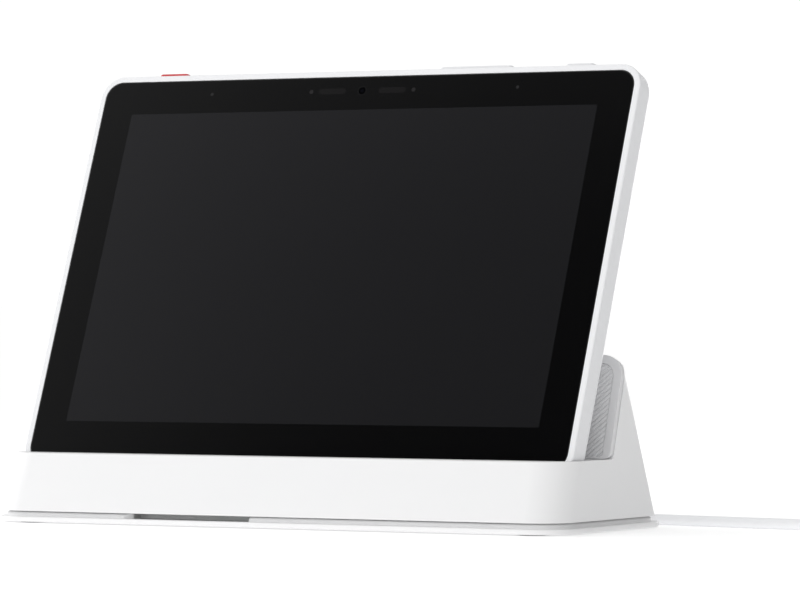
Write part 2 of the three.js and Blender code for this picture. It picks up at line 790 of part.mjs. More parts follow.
function pinBlock() {
  const low = pinBlockTop - pinBlockHeight;
  const body = uprightRect(pinBlockWidth, pinBlockDepth, 0.5, low, pinBlockTop, 0, -contactDepth);
  const flange = uprightRect(30, 5.6, 0.5, low, pocketFloor - 2 - gap, 0, -contactDepth);
  const boreRadius = pinRadius + gap;
  const bores = contactXs.map((x) =>
    stand(cylinder(boreRadius, low + 0.4, pinBlockTop + 1, 0, 0, 16), x, -contactDepth),
  );
  return surface(cut(join(solid(body), flange), ...bores));
}

function contactPin(x) {
  const profile = [
    [0, pinTop - pinLength],
    [pinRadius, pinTop - pinLength],
    [pinRadius, pinTop - 0.6],
    [pinRadius * 0.8, pinTop - 0.2],
    [pinRadius * 0.4, pinTop],
    [0, pinTop],
  ];
  return stand(turned(profile, 12), x, -contactDepth);
}

addPart(hub, 'dock_shell', dockShell(), white);
addPart(hub, 'rest_pad', restPad(), greySoft);
addPart(hub, 'base_plate', basePlate(), white);
footPlaces.forEach(([x, y], i) => addPart(hub, `foot_${i + 1}`, foot(x, y), rubber));
bossPlaces.forEach(([x, y], i) => {
  const geometry = screw(screwHead, 1.2, shankRadius, screwReach, screwSeat - gap + 0.1, x, y);
  addPart(hub, `base_screw_${i + 1}`, geometry, steel);
});
const dockBoardShape = roundedRect(dockBoardWidth, dockBoardDepth, 2, 3, 0, dockBoardY);
addPart(hub, 'dock_board', plate(dockBoardShape, dockBoardLow, dockBoardLow + 1), board);
const seatFrame = new THREE.Group();
seatFrame.position.copy(display.position);
seatFrame.rotation.copy(display.rotation);
hub.add(seatFrame);
addPart(seatFrame, 'pin_block', pinBlock(), blackPlastic);
contactXs.forEach((x, i) => addPart(seatFrame, `contact_pin_${i + 1}`, contactPin(x), gold));
const weightRear = plateDepth / 2 - weightBack;
const weightFront = dockBoardY + dockBoardDepth / 2 + weightClearance;
const weightWidth = plateWidth - 2 * weightInset;
const weightY = (weightRear + weightFront) / 2;
const weightShape = roundedRect(weightWidth, weightRear - weightFront, 2, 3, 0, weightY);
addPart(hub, 'counterweight', plate(weightShape, slabTop + gap, slabTop + gap + weightThickness), steel);

// ---------------------------------------------------------------- supply cord

// A body turned about the Y axis from a closed profile of [radius, y]
const turnedAlongY = (profile, count) => turned(profile, count).rotateX(-Math.PI / 2);

const reliefInner = dockBack(exitHeight, dockWall) - 4;
const reliefCollar = reliefRadius + 0.9;
const reliefBody = [
  [0, reliefInner],
  [reliefCollar, reliefInner],
  [reliefCollar, reliefInner + 1.4],
  [reliefRadius, reliefInner + 1.4],
  [reliefRadius, dockBack(exitHeight) + 1.2],
  [reliefRadius - 0.3, dockBack(exitHeight) + 3],
  [2.5, reliefEnd - 0.4],
  [2.2, reliefEnd],
  [0, reliefEnd],
];
addPart(hub, 'strain_relief', turnedAlongY(reliefBody, 20).translate(0, 0, exitHeight), cordWhite);

function cordTube(route, steps) {
  const points = route.map((p) => new THREE.Vector3(...p));
  const path = new THREE.CatmullRomCurve3(points, false, 'centripetal');
  const section = [];
  const sectionSides = 8;
  for (let i = 0; i < sectionSides; i += 1) {
    const angle = ((i + 0.5) / sectionSides) * 2 * Math.PI;
    section.push(new THREE.Vector2(Math.cos(angle), Math.sin(angle)).multiplyScalar(cordDiameter / 2));
  }
  return new THREE.ExtrudeGeometry(new THREE.Shape(section), { steps, extrudePath: path });
}

addPart(hub, 'power_cord', cordTube(cordRoute, 28), cordWhite);
addPart(hub, 'cord_tail', cordTube(tailRoute, 4), cordWhite);

const coilWidth = coilTurnsAcross * cordDiameter;
const coilInner = coilRadius - coilWidth / 2;
const coilOuter = coilRadius + coilWidth / 2;
const coilHeight = coilLayers * cordDiameter + 0.1;
const tieAngle = THREE.MathUtils.degToRad(300);
const tieWidth = 8;
const tieThickness = 0.6;
const tieLift = 0.8; // how far the strap raises the turns that cross it
const tieClearance = 1; // strap to the turns, inside and outside the coil

// The tie is a flat strap round all the turns. It passes under the coil, in a shallow lift of the turns.
function tieBand(grow, low, high) {
  const band = block(coilWidth + 2 * grow, tieWidth, high - low, coilRadius, 0, (low + high) / 2);
  return band.rotateZ(tieAngle).translate(coilX, coilY, 0);
}

function cordCoil() {
  const profile = [
    [coilInner, 0],
    [coilOuter, 0],
    [coilOuter, coilHeight],
    [coilInner, coilHeight],
    [coilInner, 0],
  ];
  const ring = turned(profile, 40).translate(coilX, coilY, 0);
  const lift = block(coilWidth + 20, tieWidth + 2 * gap, 2 * (tieThickness + gap), coilRadius, 0, 0);
  return surface(cut(solid(ring), lift.rotateZ(tieAngle).translate(coilX, coilY, 0)));
}

function cordTie() {
  const top = coilHeight + tieLift;
  const inner = tieBand(tieClearance, tieThickness, top);
  const outer = tieBand(tieClearance + tieThickness, 0, top + tieThickness);
  const longer = inner.clone().translate(-coilX, -coilY, 0).rotateZ(-tieAngle).scale(1, 2, 1);
  return surface(cut(solid(outer), longer.rotateZ(tieAngle).translate(coilX, coilY, 0)));
}

addPart(hub, 'cord_coil', cordCoil(), cordWhite);
addPart(hub, 'cord_tie', cordTie(), blackPlastic);

// The plug lies flat on the desk at the end of the tail, pointing on along it.
const plug = new THREE.Group();
const tailEnd = new THREE.Vector3(...tailRoute.at(-1));
const tailBefore = new THREE.Vector3(...tailRoute.at(-2));
const plugHeading = Math.atan2(tailEnd.y - tailBefore.y, tailEnd.x - tailBefore.x);
plug.position.set(tailEnd.x, tailEnd.y, 0);
plug.rotation.z = plugHeading;
hub.add(plug);

const plugReliefLength = 11;
const gripLength = 21;
const gripWidth = 15.6;
const gripHeight = 8;
const shellLength = 18.5;
const shellWidth = 12;
const shellHeight = 4.5;
const plugMiddle = gripHeight / 2;

// Pieces of the plug are drawn along Z and then laid along X.
const layDown = (geometry) => geometry.rotateX(Math.PI / 2).rotateZ(Math.PI / 2);

function plugBody() {
  const relief = loft([
    { z: gap, points: roundedRect(4.6, 4.6, 2.2, 4, 0, 2.3) },
    { z: gap + plugReliefLength, points: roundedRect(6.4, 6, 2.6, 4, 0, plugMiddle) },
  ]);
  const grip = plate(
    roundedRect(gripWidth, gripHeight, 2.2, 4, 0, plugMiddle),
    gap + plugReliefLength - 0.2,
    gap + plugReliefLength + gripLength,
  );
  return layDown(surface(join(solid(relief), grip)));
}

function plugShell() {
  const front = 2 * gap + plugReliefLength + gripLength;
  const middle = front + shellLength / 2;
  const sleeveShape = roundedRect(shellWidth, shellHeight, 0.5, 2, 0, plugMiddle);
  const sleeve = plate(sleeveShape, front, front + shellLength);
  const mouth = block(shellWidth - 0.8, shellHeight - 0.8, shellLength, 0, plugMiddle, middle + 1);
  const tongue = block(shellWidth - 1.4, 1.9, shellLength - 1, 0, plugMiddle + 0.9, middle);
  return layDown(surface(join(cut(solid(sleeve), mouth), tongue)));
}

addPart(plug, 'plug_body', plugBody(), cordWhite);
addPart(plug, 'plug_shell', plugShell(), steel);

export default hub;
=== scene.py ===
# %% [markdown]
# # A smart home hub, piece by piece
# The hub is a flat display unit that leans back in a wedge-shaped charging dock. Its cord runs off over
# the desk. The working model comes first: it holds every part at its real size and place, and says which
# parts move together. This script builds the finished look round that model, one piece at a time, and
# never moves a part of it.

# %% Load the working model
import json
import math

import bmesh
import bpy
from mathutils import Matrix, Vector


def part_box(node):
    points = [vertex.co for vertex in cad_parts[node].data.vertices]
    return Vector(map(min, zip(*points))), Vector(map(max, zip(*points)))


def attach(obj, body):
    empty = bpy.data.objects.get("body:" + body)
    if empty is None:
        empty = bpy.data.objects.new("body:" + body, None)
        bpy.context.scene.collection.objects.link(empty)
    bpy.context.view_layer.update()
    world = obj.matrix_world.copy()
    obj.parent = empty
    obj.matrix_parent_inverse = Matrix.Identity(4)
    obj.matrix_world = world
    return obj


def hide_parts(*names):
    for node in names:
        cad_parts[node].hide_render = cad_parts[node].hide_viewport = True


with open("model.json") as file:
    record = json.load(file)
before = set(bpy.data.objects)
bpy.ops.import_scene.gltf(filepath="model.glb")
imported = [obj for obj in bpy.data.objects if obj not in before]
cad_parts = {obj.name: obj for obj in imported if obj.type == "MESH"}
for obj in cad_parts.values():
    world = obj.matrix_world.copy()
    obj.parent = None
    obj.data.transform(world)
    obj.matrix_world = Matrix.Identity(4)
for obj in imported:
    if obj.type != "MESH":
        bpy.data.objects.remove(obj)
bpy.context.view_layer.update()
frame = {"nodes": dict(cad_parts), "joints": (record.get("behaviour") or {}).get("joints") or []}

MM = 0.001
scene = bpy.context.scene

# %% [markdown]
# ## Two frames of reference
# The dock stands upright on the desk, but the display leans. Everything on the display is easier to draw
# flat, in a frame of its own: x to the right, up along the glass, and out of the glass towards the reader.
# The direction in which the display slides out of the dock is that frame's up, so it is taken from the
# joint.

# %% Measure the display's own frame
lift = next(joint for joint in frame["joints"] if joint["name"] == "display_lift")
RIGHT = Vector((1, 0, 0))
UP = Vector(lift["axis"]).normalized()
OUT = RIGHT.cross(UP)
lean = math.atan2(UP.y, UP.z)


def reach(node, direction):
    """Lowest and highest place of a node along a direction, in metres."""
    along = [vertex.co.dot(direction) for vertex in frame["nodes"][node].data.vertices]
    return min(along), max(along)


display_low, display_high = reach("display_frame", UP)
display_height = display_high - display_low
display_width = 2 * reach("display_frame", RIGHT)[1]
glass_level = reach("cover_glass", OUT)[1]
display_centre = UP * (display_low + display_high) / 2 + OUT * glass_level
dock_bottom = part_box("dock_shell")[0].z
dock_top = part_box("dock_shell")[1].z


def seated(x, up, out):
    """A point of the display's frame, in the row frame."""
    return display_centre + RIGHT * x + UP * up + OUT * out


def across_top(x, depth, up):
    """The same frame for pieces that stand along the display's height."""
    return seated(x, up, depth)


def upright(x, y, z):
    return Vector((x, y, z))


print(f"display {display_width:.4f} x {display_height:.4f} m, leaning {math.degrees(lean):.2f} degrees")

# %% [markdown]
# ## The camera
# A long lens from a low height keeps the sides of the display nearly parallel, as in a catalogue. It
# stands level with the middle of the object, well to its right, so both the front and the right side show.

# %% Place the camera
VIEW_ANGLE = math.radians(29.31)
camera_data = bpy.data.cameras.new("catalogue_camera")
camera_data.lens = 218.64
camera_data.sensor_width = 36
camera = bpy.data.objects.new("catalogue_camera", camera_data)
camera.location = (776.06 * MM, -1333.67 * MM, 71.27 * MM)
camera.rotation_euler = (math.pi / 2, 0, VIEW_ANGLE)
scene.collection.objects.link(camera)
scene.camera = camera
print("camera", round(camera.location.length, 3), "m from the object")

# %% [markdown]
# ## The cord's route
# A cord is a fixed length of something flexible. It leaves its strain relief level, sinks to the desk
# under its own weight and runs off to the right. The spare length is wound into a flat coil of two layers
# with a strap round it. The route is a list of given points. The coil is worked out by a loop: inward on
# the desk, up, and outward on top.

# %% Work out the cord's line
CORD_MM = 3.5
CORD = CORD_MM * MM
LYING = CORD_MM / 2
LAYER_STEP = 3.57
EXIT_HEIGHT = 8.5
COIL_X, COIL_Y = 178.5, 60.6
COIL_RADIUS = 21
COIL_WIDTH = 5.68 * CORD_MM
CLIMB_ROOM = 0.85
TIE_ANGLE = math.radians(300)
TIE_WIDTH = 8
TIE_THICKNESS = 0.6
TIE_LIFT = 0.75
TIE_REACH, TIE_SLOPE = 14, 9

lead_route = [
    (0, 48.3, EXIT_HEIGHT), (0, 52, 8.2), (0.3, 56, 7.4), (1.6, 60.6, 6.2), (4.8, 65.4, 4.7),
    (9.8, 69.2, 3.2), (15.8, 71.2, 2.2), (22.5, 71, 1.8),
]
lead_route += [(x, y, LYING) for x, y in (
    (32, 67.9), (44, 63.6), (56, 59.4), (68, 55.5), (80, 52), (94, 48.8), (110, 45.5), (128, 42),
    (147, 38.4), (156.1, 36.65),
)]
tail_route = [
    (203.3, 77.3, 5.05), (201.3, 82.2, 4.45), (199.5, 86.4, 3.7), (197.1, 89.8, 3.1), (190.7, 95.2, 2.2),
    (184.9, 97.6, 1.85), (182, 98.3, 1.78), (178.7, 98.4, LYING),
]


def smooth(t):
    t = min(max(t, 0), 1)
    return t * t * (3 - 2 * t)


def coil_line(steps_per_turn=18):
    """Points of the coil in millimetres: in along the desk, up at the middle and out again on top."""
    outer = COIL_RADIUS + COIL_WIDTH / 2 - LYING
    inner = COIL_RADIUS - COIL_WIDTH / 2 + LYING
    start, climb, end = math.radians(259.1), math.radians(120), math.radians(21.5 + 9 * 360)
    low, high = LYING, LYING + LAYER_STEP
    pitch = (2 * (outer - inner) - CLIMB_ROOM) / ((end - start - climb) / math.tau)
    points = []
    count = round((end - start) / math.tau * steps_per_turn)
    turn = (outer - inner - CLIMB_ROOM) / pitch * math.tau
    for k in range(count + 1):
        angle = (end - start) * k / count
        if angle <= turn + climb:
            radius = max(outer - pitch * angle / math.tau, inner)
        else:
            radius = inner + pitch * (angle - turn - climb) / math.tau
        height = low + (high - low) * smooth((angle - turn) / climb)
        direction = start + angle
        sideways = abs(radius * math.sin(direction - TIE_ANGLE))
        ahead = math.cos(direction - TIE_ANGLE) > 0
        height += TIE_LIFT * smooth((TIE_REACH - sideways) / TIE_SLOPE) * ahead
        points.append((COIL_X + radius * math.cos(direction), COIL_Y + radius * math.sin(direction), height))
    return points


line = [Vector(point) * MM for point in lead_route + coil_line() + tail_route]
print("cord line:", len(line), "points")

# %% Lay the cord
cord_curve = bpy.data.curves.new("supply_cord", "CURVE")
cord_curve.dimensions = "3D"
cord_curve.bevel_depth = CORD / 2
cord_curve.bevel_resolution = 4
cord_curve.resolution_u = 5
cord_curve.use_fill_caps = True
spline = cord_curve.splines.new("BEZIER")
spline.bezier_points.add(len(line) - 1)
for point, place in zip(spline.bezier_points, line):
    point.co = place
    point.handle_left_type = point.handle_right_type = "AUTO"
supply_cord = bpy.data.objects.new("supply_cord", cord_curve)
scene.collection.objects.link(supply_cord)

# %% [markdown]
# ## The studio
# The hub stands on a plain pale floor that runs on into a white background. The room itself gives most of
# the light: even on the left and overhead, a little brighter in front, and dimmer behind and on the right,
# so that each side reads as a side. One dark patch, up in front, is what the leaning glass mirrors, which
# keeps the glass black. Three soft lamps add to it, one on the left, one behind and a weak one low in
# front.

# %% Floor, room light and lamps
floor_mesh = bpy.data.meshes.new("floor")
HALF_FLOOR = 40
floor_corners = [(-HALF_FLOOR, -HALF_FLOOR), (HALF_FLOOR, -HALF_FLOOR),
                 (HALF_FLOOR, HALF_FLOOR), (-HALF_FLOOR, HALF_FLOOR)]
floor_mesh.from_pydata([(x, y, 0) for x, y in floor_corners], [], [(0, 1, 2, 3)])
floor = bpy.data.objects.new("floor", floor_mesh)
scene.collection.objects.link(floor)

world = bpy.data.worlds.new("studio")
scene.world = world
world.use_nodes = True
tree = world.node_tree
tree.nodes.clear()
seen = tree.nodes.new("ShaderNodeTexCoord")
parts = tree.nodes.new("ShaderNodeSeparateXYZ")
tree.links.new(seen.outputs["Generated"], parts.inputs[0])


def world_math(operation, first, second=None, third=None):
    node = tree.nodes.new("ShaderNodeMath")
    node.operation = operation
    for socket, value in zip(node.inputs, (first, second, third)):
        if isinstance(value, (int, float)):
            socket.default_value = value
        elif value is not None:
            tree.links.new(value, socket)
    return node.outputs[0]


ROOM_LIGHT = 1.0
RIGHT_FALL = 0.66
BACK_FALL = 0.30
BACK_SHARE = 0.3
FRONT_RISE = 0.08
FLAG = (-0.43, -0.70, 0.57)
FLAG_DARK, FLAG_EDGE = 0.061, 0.38
BACKDROP_LIGHT = 1.05
aimed = world_math("MULTIPLY_ADD", parts.outputs["Y"], BACK_SHARE, parts.outputs["X"])
to_right = world_math("MAXIMUM", aimed, 0)
to_front = world_math("MAXIMUM", world_math("MULTIPLY", parts.outputs["Y"], -1), 0)
front_lit = world_math("MULTIPLY_ADD", to_front, FRONT_RISE, ROOM_LIGHT)
to_back = world_math("MAXIMUM", parts.outputs["Y"], 0)
back_dimmed = world_math("MULTIPLY_ADD", to_back, -BACK_FALL, front_lit)
room = world_math("MULTIPLY_ADD", to_right, -RIGHT_FALL, back_dimmed)
offset = tree.nodes.new("ShaderNodeVectorMath")
offset.operation = "DISTANCE"
offset.inputs[1].default_value = FLAG
tree.links.new(seen.outputs["Generated"], offset.inputs[0])
flag = tree.nodes.new("ShaderNodeMapRange")
flag.interpolation_type = "SMOOTHSTEP"
flag.inputs["From Min"].default_value = FLAG_DARK
flag.inputs["From Max"].default_value = FLAG_EDGE
tree.links.new(offset.outputs["Value"], flag.inputs["Value"])
lit = world_math("MULTIPLY", room, flag.outputs[0])
light_path = tree.nodes.new("ShaderNodeLightPath")
level = tree.nodes.new("ShaderNodeMix")
tree.links.new(light_path.outputs["Is Camera Ray"], level.inputs["Factor"])
tree.links.new(lit, level.inputs["A"])
level.inputs["B"].default_value = BACKDROP_LIGHT
backdrop = tree.nodes.new("ShaderNodeBackground")
backdrop.inputs["Color"].default_value = (1, 1, 1, 1)
tree.links.new(level.outputs["Result"], backdrop.inputs["Strength"])
world_out = tree.nodes.new("ShaderNodeOutputWorld")
tree.links.new(backdrop.outputs[0], world_out.inputs[0])

scene.view_settings.view_transform = "Standard"


HUB_MIDDLE = Vector((0, 0, 0.07))


def softbox(name, place, size, power):
    """A square area lamp that faces the middle of the hub."""
    data = bpy.data.lights.new(name, "AREA")
    data.size = size
    data.energy = power
    lamp = bpy.data.objects.new(name, data)
    lamp.location = place
    lamp.rotation_euler = (Vector(place) - HUB_MIDDLE).to_track_quat("Z", "Y").to_euler()
    scene.collection.objects.link(lamp)
    return lamp


softbox("key_softbox", (-0.95, 0.05, 0.6), 0.6, 2.2)
softbox("back_softbox", (-0.05, 1.25, 0.16), 0.4, 1.5)
softbox("front_softbox", (-0.30, -0.62, 0.14), 0.24, 0.45)
print("studio: floor, room light and 3 softboxes")

# %% [markdown]
# ## Mesh tools
# Nearly every piece here is a rounded outline drawn through a few levels, like a plate, a pill or a shell.
# The outline is worked out once, with true arcs at its corners, and a loft joins it from level to level.
# Openings are cut afterwards with booleans, and the dock's and the strap's edges then get a small bevel, as
# a mould gives them.

# %% Outlines
CORNER_STEPS = 12


def outline(corners, steps=CORNER_STEPS):
    """A closed outline from (x, y, radius) corners, each rounded by an arc."""
    points = []
    for i, (x, y, radius) in enumerate(corners):
        corner = Vector((x, y))
        before = (Vector(corners[i - 1][:2]) - corner).normalized()
        after = (Vector(corners[(i + 1) % len(corners)][:2]) - corner).normalized()
        half = before.angle(after) / 2
        middle = corner + (before + after).normalized() * radius / math.sin(half)
        start = corner + before * radius / math.tan(half) - middle
        sweep = (math.pi - 2 * half) * (1 if before.cross(after) < 0 else -1)
        for k in range(steps + 1):
            turned_by = Matrix.Rotation(sweep * k / steps, 2)
            points.append(tuple(middle + turned_by @ start))
    return points


def rounded_rect(width, height, radius, x=0, y=0, steps=CORNER_STEPS):
    left, right = x - width / 2, x + width / 2
    low, high = y - height / 2, y + height / 2
    corners = [(left, low), (right, low), (right, high), (left, high)]
    return outline([(*corner, radius) for corner in corners], steps)


def circle(radius, x=0, y=0, sides=32):
    angles = [math.tau * k / sides for k in range(sides)]
    return [(x + radius * math.cos(a), y + radius * math.sin(a)) for a in angles]


def quarter_turn(steps):
    """Angles from nothing to a right angle, in even steps."""
    return [math.pi / 2 * k / steps for k in range(steps + 1)]


def edge(low, high, low_round=0, high_round=0, steps=5):
    """(level, inset) pairs of a slab with rounded edges, from its bottom to its top."""
    margin = 0.3 * MM
    angles = quarter_turn(steps)
    rows = [(low, 0)]
    if low_round:
        rows = [(low, low_round + margin)]
        rows += [(low + low_round * (1 - math.cos(a)), low_round * (1 - math.sin(a))) for a in angles]
    if not high_round:
        return rows + [(high, 0)]
    rows += [(high - high_round * (1 - math.sin(a)), high_round * (1 - math.cos(a))) for a in angles]
    return rows + [(high, high_round + margin)]


print("outline of a 10 mm square with round corners:", len(rounded_rect(10, 10, 2)), "points")


# %% Lofts, cuts and finishing
def loft(name, rings, place=upright):
    """A closed piece through outlines of equal point counts, given as (level, points)."""
    mesh = bmesh.new()
    rows = [[mesh.verts.new(place(x, y, level)) for x, y in points] for level, points in rings]
    for low, high in zip(rows, rows[1:]):
        for i in range(len(low)):
            j = (i + 1) % len(low)
            mesh.faces.new((low[i], low[j], high[j], high[i]))
    mesh.faces.new(list(reversed(rows[0])))
    mesh.faces.new(rows[-1])
    bmesh.ops.recalc_face_normals(mesh, faces=mesh.faces)
    data = bpy.data.meshes.new(name)
    mesh.to_mesh(data)
    mesh.free()
    piece = bpy.data.objects.new(name, data)
    scene.collection.objects.link(piece)
    return piece


def slab(name, shape, low, high, low_round=0, high_round=0, place=upright, steps=5):
    """A piece of one outline, given as a function of its inset, with rounded edges."""
    levels = edge(low, high, low_round, high_round, steps)
    return loft(name, [(level, shape(inset)) for level, inset in levels], place)


def prism(points, low, high, place=upright):
    return loft("tool", [(low, points), (high, points)], place)


def settle(piece):
    """Turns a piece's modifiers into plain mesh."""
    bpy.context.view_layer.update()
    graph = bpy.context.evaluated_depsgraph_get()
    mesh = bpy.data.meshes.new_from_object(piece.evaluated_get(graph))
    piece.modifiers.clear()
    piece.data = mesh


def carve(piece, tools, operation="DIFFERENCE"):
    """Cuts the tools out of a piece, or joins or keeps what they share, and removes them."""
    for tool in tools:
        modifier = piece.modifiers.new("carve", "BOOLEAN")
        modifier.operation = operation
        modifier.solver = "EXACT"
        modifier.object = tool
    settle(piece)
    for tool in tools:
        bpy.data.objects.remove(tool)
    clean(piece)


def clean(piece):
    mesh = bmesh.new()
    mesh.from_mesh(piece.data)
    bmesh.ops.remove_doubles(mesh, verts=mesh.verts, dist=2e-6)
    flat = math.radians(0.4)
    bmesh.ops.dissolve_limit(mesh, angle_limit=flat, verts=mesh.verts, edges=mesh.edges)
    bmesh.ops.dissolve_degenerate(mesh, edges=mesh.edges, dist=1e-6)
    mesh.to_mesh(piece.data)
    mesh.free()


def soften(piece, width, segments=3, angle=40):
    """Rounds a piece's sharp edges, as a mould does."""
    bevel = piece.modifiers.new("soften", "BEVEL")
    bevel.width = width
    bevel.segments = segments
    bevel.limit_method = "ANGLE"
    bevel.angle_limit = math.radians(angle)
    settle(piece)
    clean(piece)


def finish_piece(piece, body, look, nodes=(), sharp=38):
    """Shades a piece, gives it its material and its place on a body, and hides the nodes it stands for."""
    piece.data.materials.clear()
    piece.data.materials.append(look)
    piece.data.shade_smooth()
    piece.data.set_sharp_from_angle(angle=math.radians(sharp))
    weighted = piece.modifiers.new("weighted", "WEIGHTED_NORMAL")
    weighted.keep_sharp = True
    weighted.weight = 80
    settle(piece)
    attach(piece, body)
    if nodes:
        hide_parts(*nodes)
    print(f"{piece.name}: {len(piece.data.polygons)} faces")
    return piece


print("mesh tools ready")

# %% [markdown]
# ## Finishes
# Moulded plastic is never one flat colour: it has a very fine spark-eroded grain, a faint unevenness of
# tone, and places that hands have polished. More than one finish needs this, so it is one shader group
# with named inputs, placed in each material with its own values. The shader itself stays in the material.

# %% The moulded group
moulded = bpy.data.node_groups.new("moulded surface", "ShaderNodeTree")
for label, kind, value in [
    ("Colour", "NodeSocketColor", (0.8, 0.8, 0.8, 1)),
    ("Tone", "NodeSocketFloat", 0.02),
    ("Roughness", "NodeSocketFloat", 0.5),
    ("Polish", "NodeSocketFloat", 0.08),
    ("Grain Scale", "NodeSocketFloat", 2500),
]:
    socket = moulded.interface.new_socket(label, in_out="INPUT", socket_type=kind)
    socket.default_value = value
for label, kind in [("Colour", "Color"), ("Roughness", "Float"), ("Height", "Float")]:
    moulded.interface.new_socket(label, in_out="OUTPUT", socket_type="NodeSocket" + kind)


def node(tree, kind, inputs=(), prefix="ShaderNode", **settings):
    """A node with its settings and inputs filled in. An input is a value or another node's output."""
    made = tree.nodes.new(prefix + kind)
    for name, value in settings.items():
        setattr(made, name, value)
    for key, value in dict(inputs).items():
        if isinstance(value, bpy.types.NodeSocket):
            tree.links.new(value, made.inputs[key])
        else:
            made.inputs[key].default_value = value
    return made


def math_node(tree, operation, *values):
    return node(tree, "Math", dict(enumerate(values)), operation=operation).outputs[0]


def noise(tree, place, scale, detail, roughness=0.5):
    """Soft clouds of values from 0 to 1."""
    inputs = {"Vector": place, "Scale": scale, "Detail": detail, "Roughness": roughness}
    return node(tree, "TexNoise", inputs).outputs["Fac"]


def mix_colours(tree, mask, below, above):
    """One colour where the mask is 0, and another where it is 1."""
    return node(tree, "Mix", {"Factor": mask, 6: below, 7: above}, data_type="RGBA").outputs[2]


given = moulded.nodes.new("NodeGroupInput").outputs
place = node(moulded, "TexCoord").outputs["Object"]
cloud = noise(moulded, place, 22, 3)
rubbed = noise(moulded, place, 60, 5, 0.65)
grain = noise(moulded, place, given["Grain Scale"], 2)
shade = math_node(moulded, "MULTIPLY", math_node(moulded, "SUBTRACT", cloud, 0.5), given["Tone"])
darker = math_node(moulded, "ADD", shade, 1)
tinted = node(moulded, "VectorMath", {0: given["Colour"], "Scale": darker}, operation="SCALE").outputs[0]
worn = math_node(moulded, "MULTIPLY", math_node(moulded, "SUBTRACT", rubbed, 0.5), given["Polish"])
gloss = math_node(moulded, "ADD", given["Roughness"], worn)
group_out = moulded.nodes.new("NodeGroupOutput")
for name, value in [("Colour", tinted), ("Roughness", gloss), ("Height", grain)]:
    moulded.links.new(value, group_out.inputs[name])
print("moulded group:", len(moulded.nodes), "nodes")


# %% Materials from the moulded group
def new_material(name):
    """An empty material, its node tree, and its shader wired to the output."""
    made = bpy.data.materials.new(name)
    made.use_nodes = True
    made.node_tree.nodes.clear()
    shader = node(made.node_tree, "BsdfPrincipled")
    out = node(made.node_tree, "OutputMaterial")
    made.node_tree.links.new(shader.outputs[0], out.inputs[0])
    return made, made.node_tree, shader


def add_bump(tree, shader, height, strength, distance):
    bump = node(tree, "Bump", {"Height": height, "Strength": strength, "Distance": distance})
    tree.links.new(bump.outputs[0], shader.inputs["Normal"])


def moulded_material(name, colour, roughness, tone=0.02, polish=0.08, grain=2500, depth=0.02):
    """Moulded plastic or rubber. The depth is that of its grain, in millimetres."""
    made, tree, shader = new_material(name)
    values = {"Colour": (*colour, 1), "Tone": tone, "Roughness": roughness,
              "Polish": polish, "Grain Scale": grain}
    surface = node(tree, "Group", values, node_tree=moulded)
    tree.links.new(surface.outputs["Colour"], shader.inputs["Base Color"])
    tree.links.new(surface.outputs["Roughness"], shader.inputs["Roughness"])
    add_bump(tree, shader, surface.outputs["Height"], 0.5, depth * MM)
    return made


dock_white = moulded_material("satin white plastic", (0.86, 0.86, 0.865), 0.42, tone=0.02, depth=0.012)
rim_white = moulded_material("smooth white plastic", (0.85, 0.855, 0.87), 0.32, tone=0.015, depth=0.006)
key_white = moulded_material("white key plastic", (0.84, 0.845, 0.86), 0.36, tone=0.02, depth=0.008)
alarm_red = moulded_material("red key plastic", (0.62, 0.035, 0.042), 0.38, tone=0.06, depth=0.01)
pad_grey = moulded_material("grey silicone", (0.74, 0.74, 0.75), 0.68, tone=0.05, grain=1600, depth=0.03)
foot_grey = moulded_material("dark foot rubber", (0.17, 0.17, 0.175), 0.75, tone=0.1, grain=1400, depth=0.04)
inner_black = moulded_material("black moulded plastic", (0.018, 0.018, 0.02), 0.55, tone=0.2, depth=0.03)
grille_white = moulded_material("grille plastic", (0.80, 0.805, 0.82), 0.45, tone=0.03, depth=0.015)
jacket_white = moulded_material("cord jacket", (0.90, 0.905, 0.92), 0.40, tone=0.03, grain=1200, depth=0.03)
shield_grey = moulded_material("panel shell", (0.09, 0.095, 0.105), 0.42, tone=0.15, polish=0.15, depth=0.02)
print("moulded materials:", len(bpy.data.materials))

# %% [markdown]
# ## Metals, boards and the strap
# Metal parts show fine drawn lines and a little tarnish. A circuit board has a green mask with brighter
# copper lines under it, in runs and steps. The strap is hook-and-loop tape: a soft dark pile.

# %% Metal, board and strap materials
def metal_material(name, colour, roughness, lines):
    """A drawn metal: fine lines along one axis vary its roughness, and a slow cloud its colour."""
    made, tree, shader = new_material(name)
    place = node(tree, "TexCoord").outputs["Object"]
    stretch = (lines, lines * 0.04, lines * 0.3)
    stretched = node(tree, "Mapping", {"Vector": place, "Scale": stretch}).outputs[0]
    drawn = noise(tree, stretched, 1, 3)
    cloud = noise(tree, place, 90, 3)
    dull = tuple(0.72 * c for c in colour)
    tarnish = mix_colours(tree, cloud, (*colour, 1), (*dull, 1))
    tree.links.new(tarnish, shader.inputs["Base Color"])
    uneven = math_node(tree, "MULTIPLY_ADD", drawn, 0.22, roughness - 0.11)
    tree.links.new(uneven, shader.inputs["Roughness"])
    shader.inputs["Metallic"].default_value = 1
    add_bump(tree, shader, drawn, 0.25, 0.01 * MM)
    return made


steel = metal_material("bright steel", (0.62, 0.63, 0.65), 0.30, 5000)
plate_steel = metal_material("pressed steel", (0.50, 0.51, 0.53), 0.42, 1800)
gold = metal_material("contact gold", (0.86, 0.62, 0.26), 0.24, 7000)

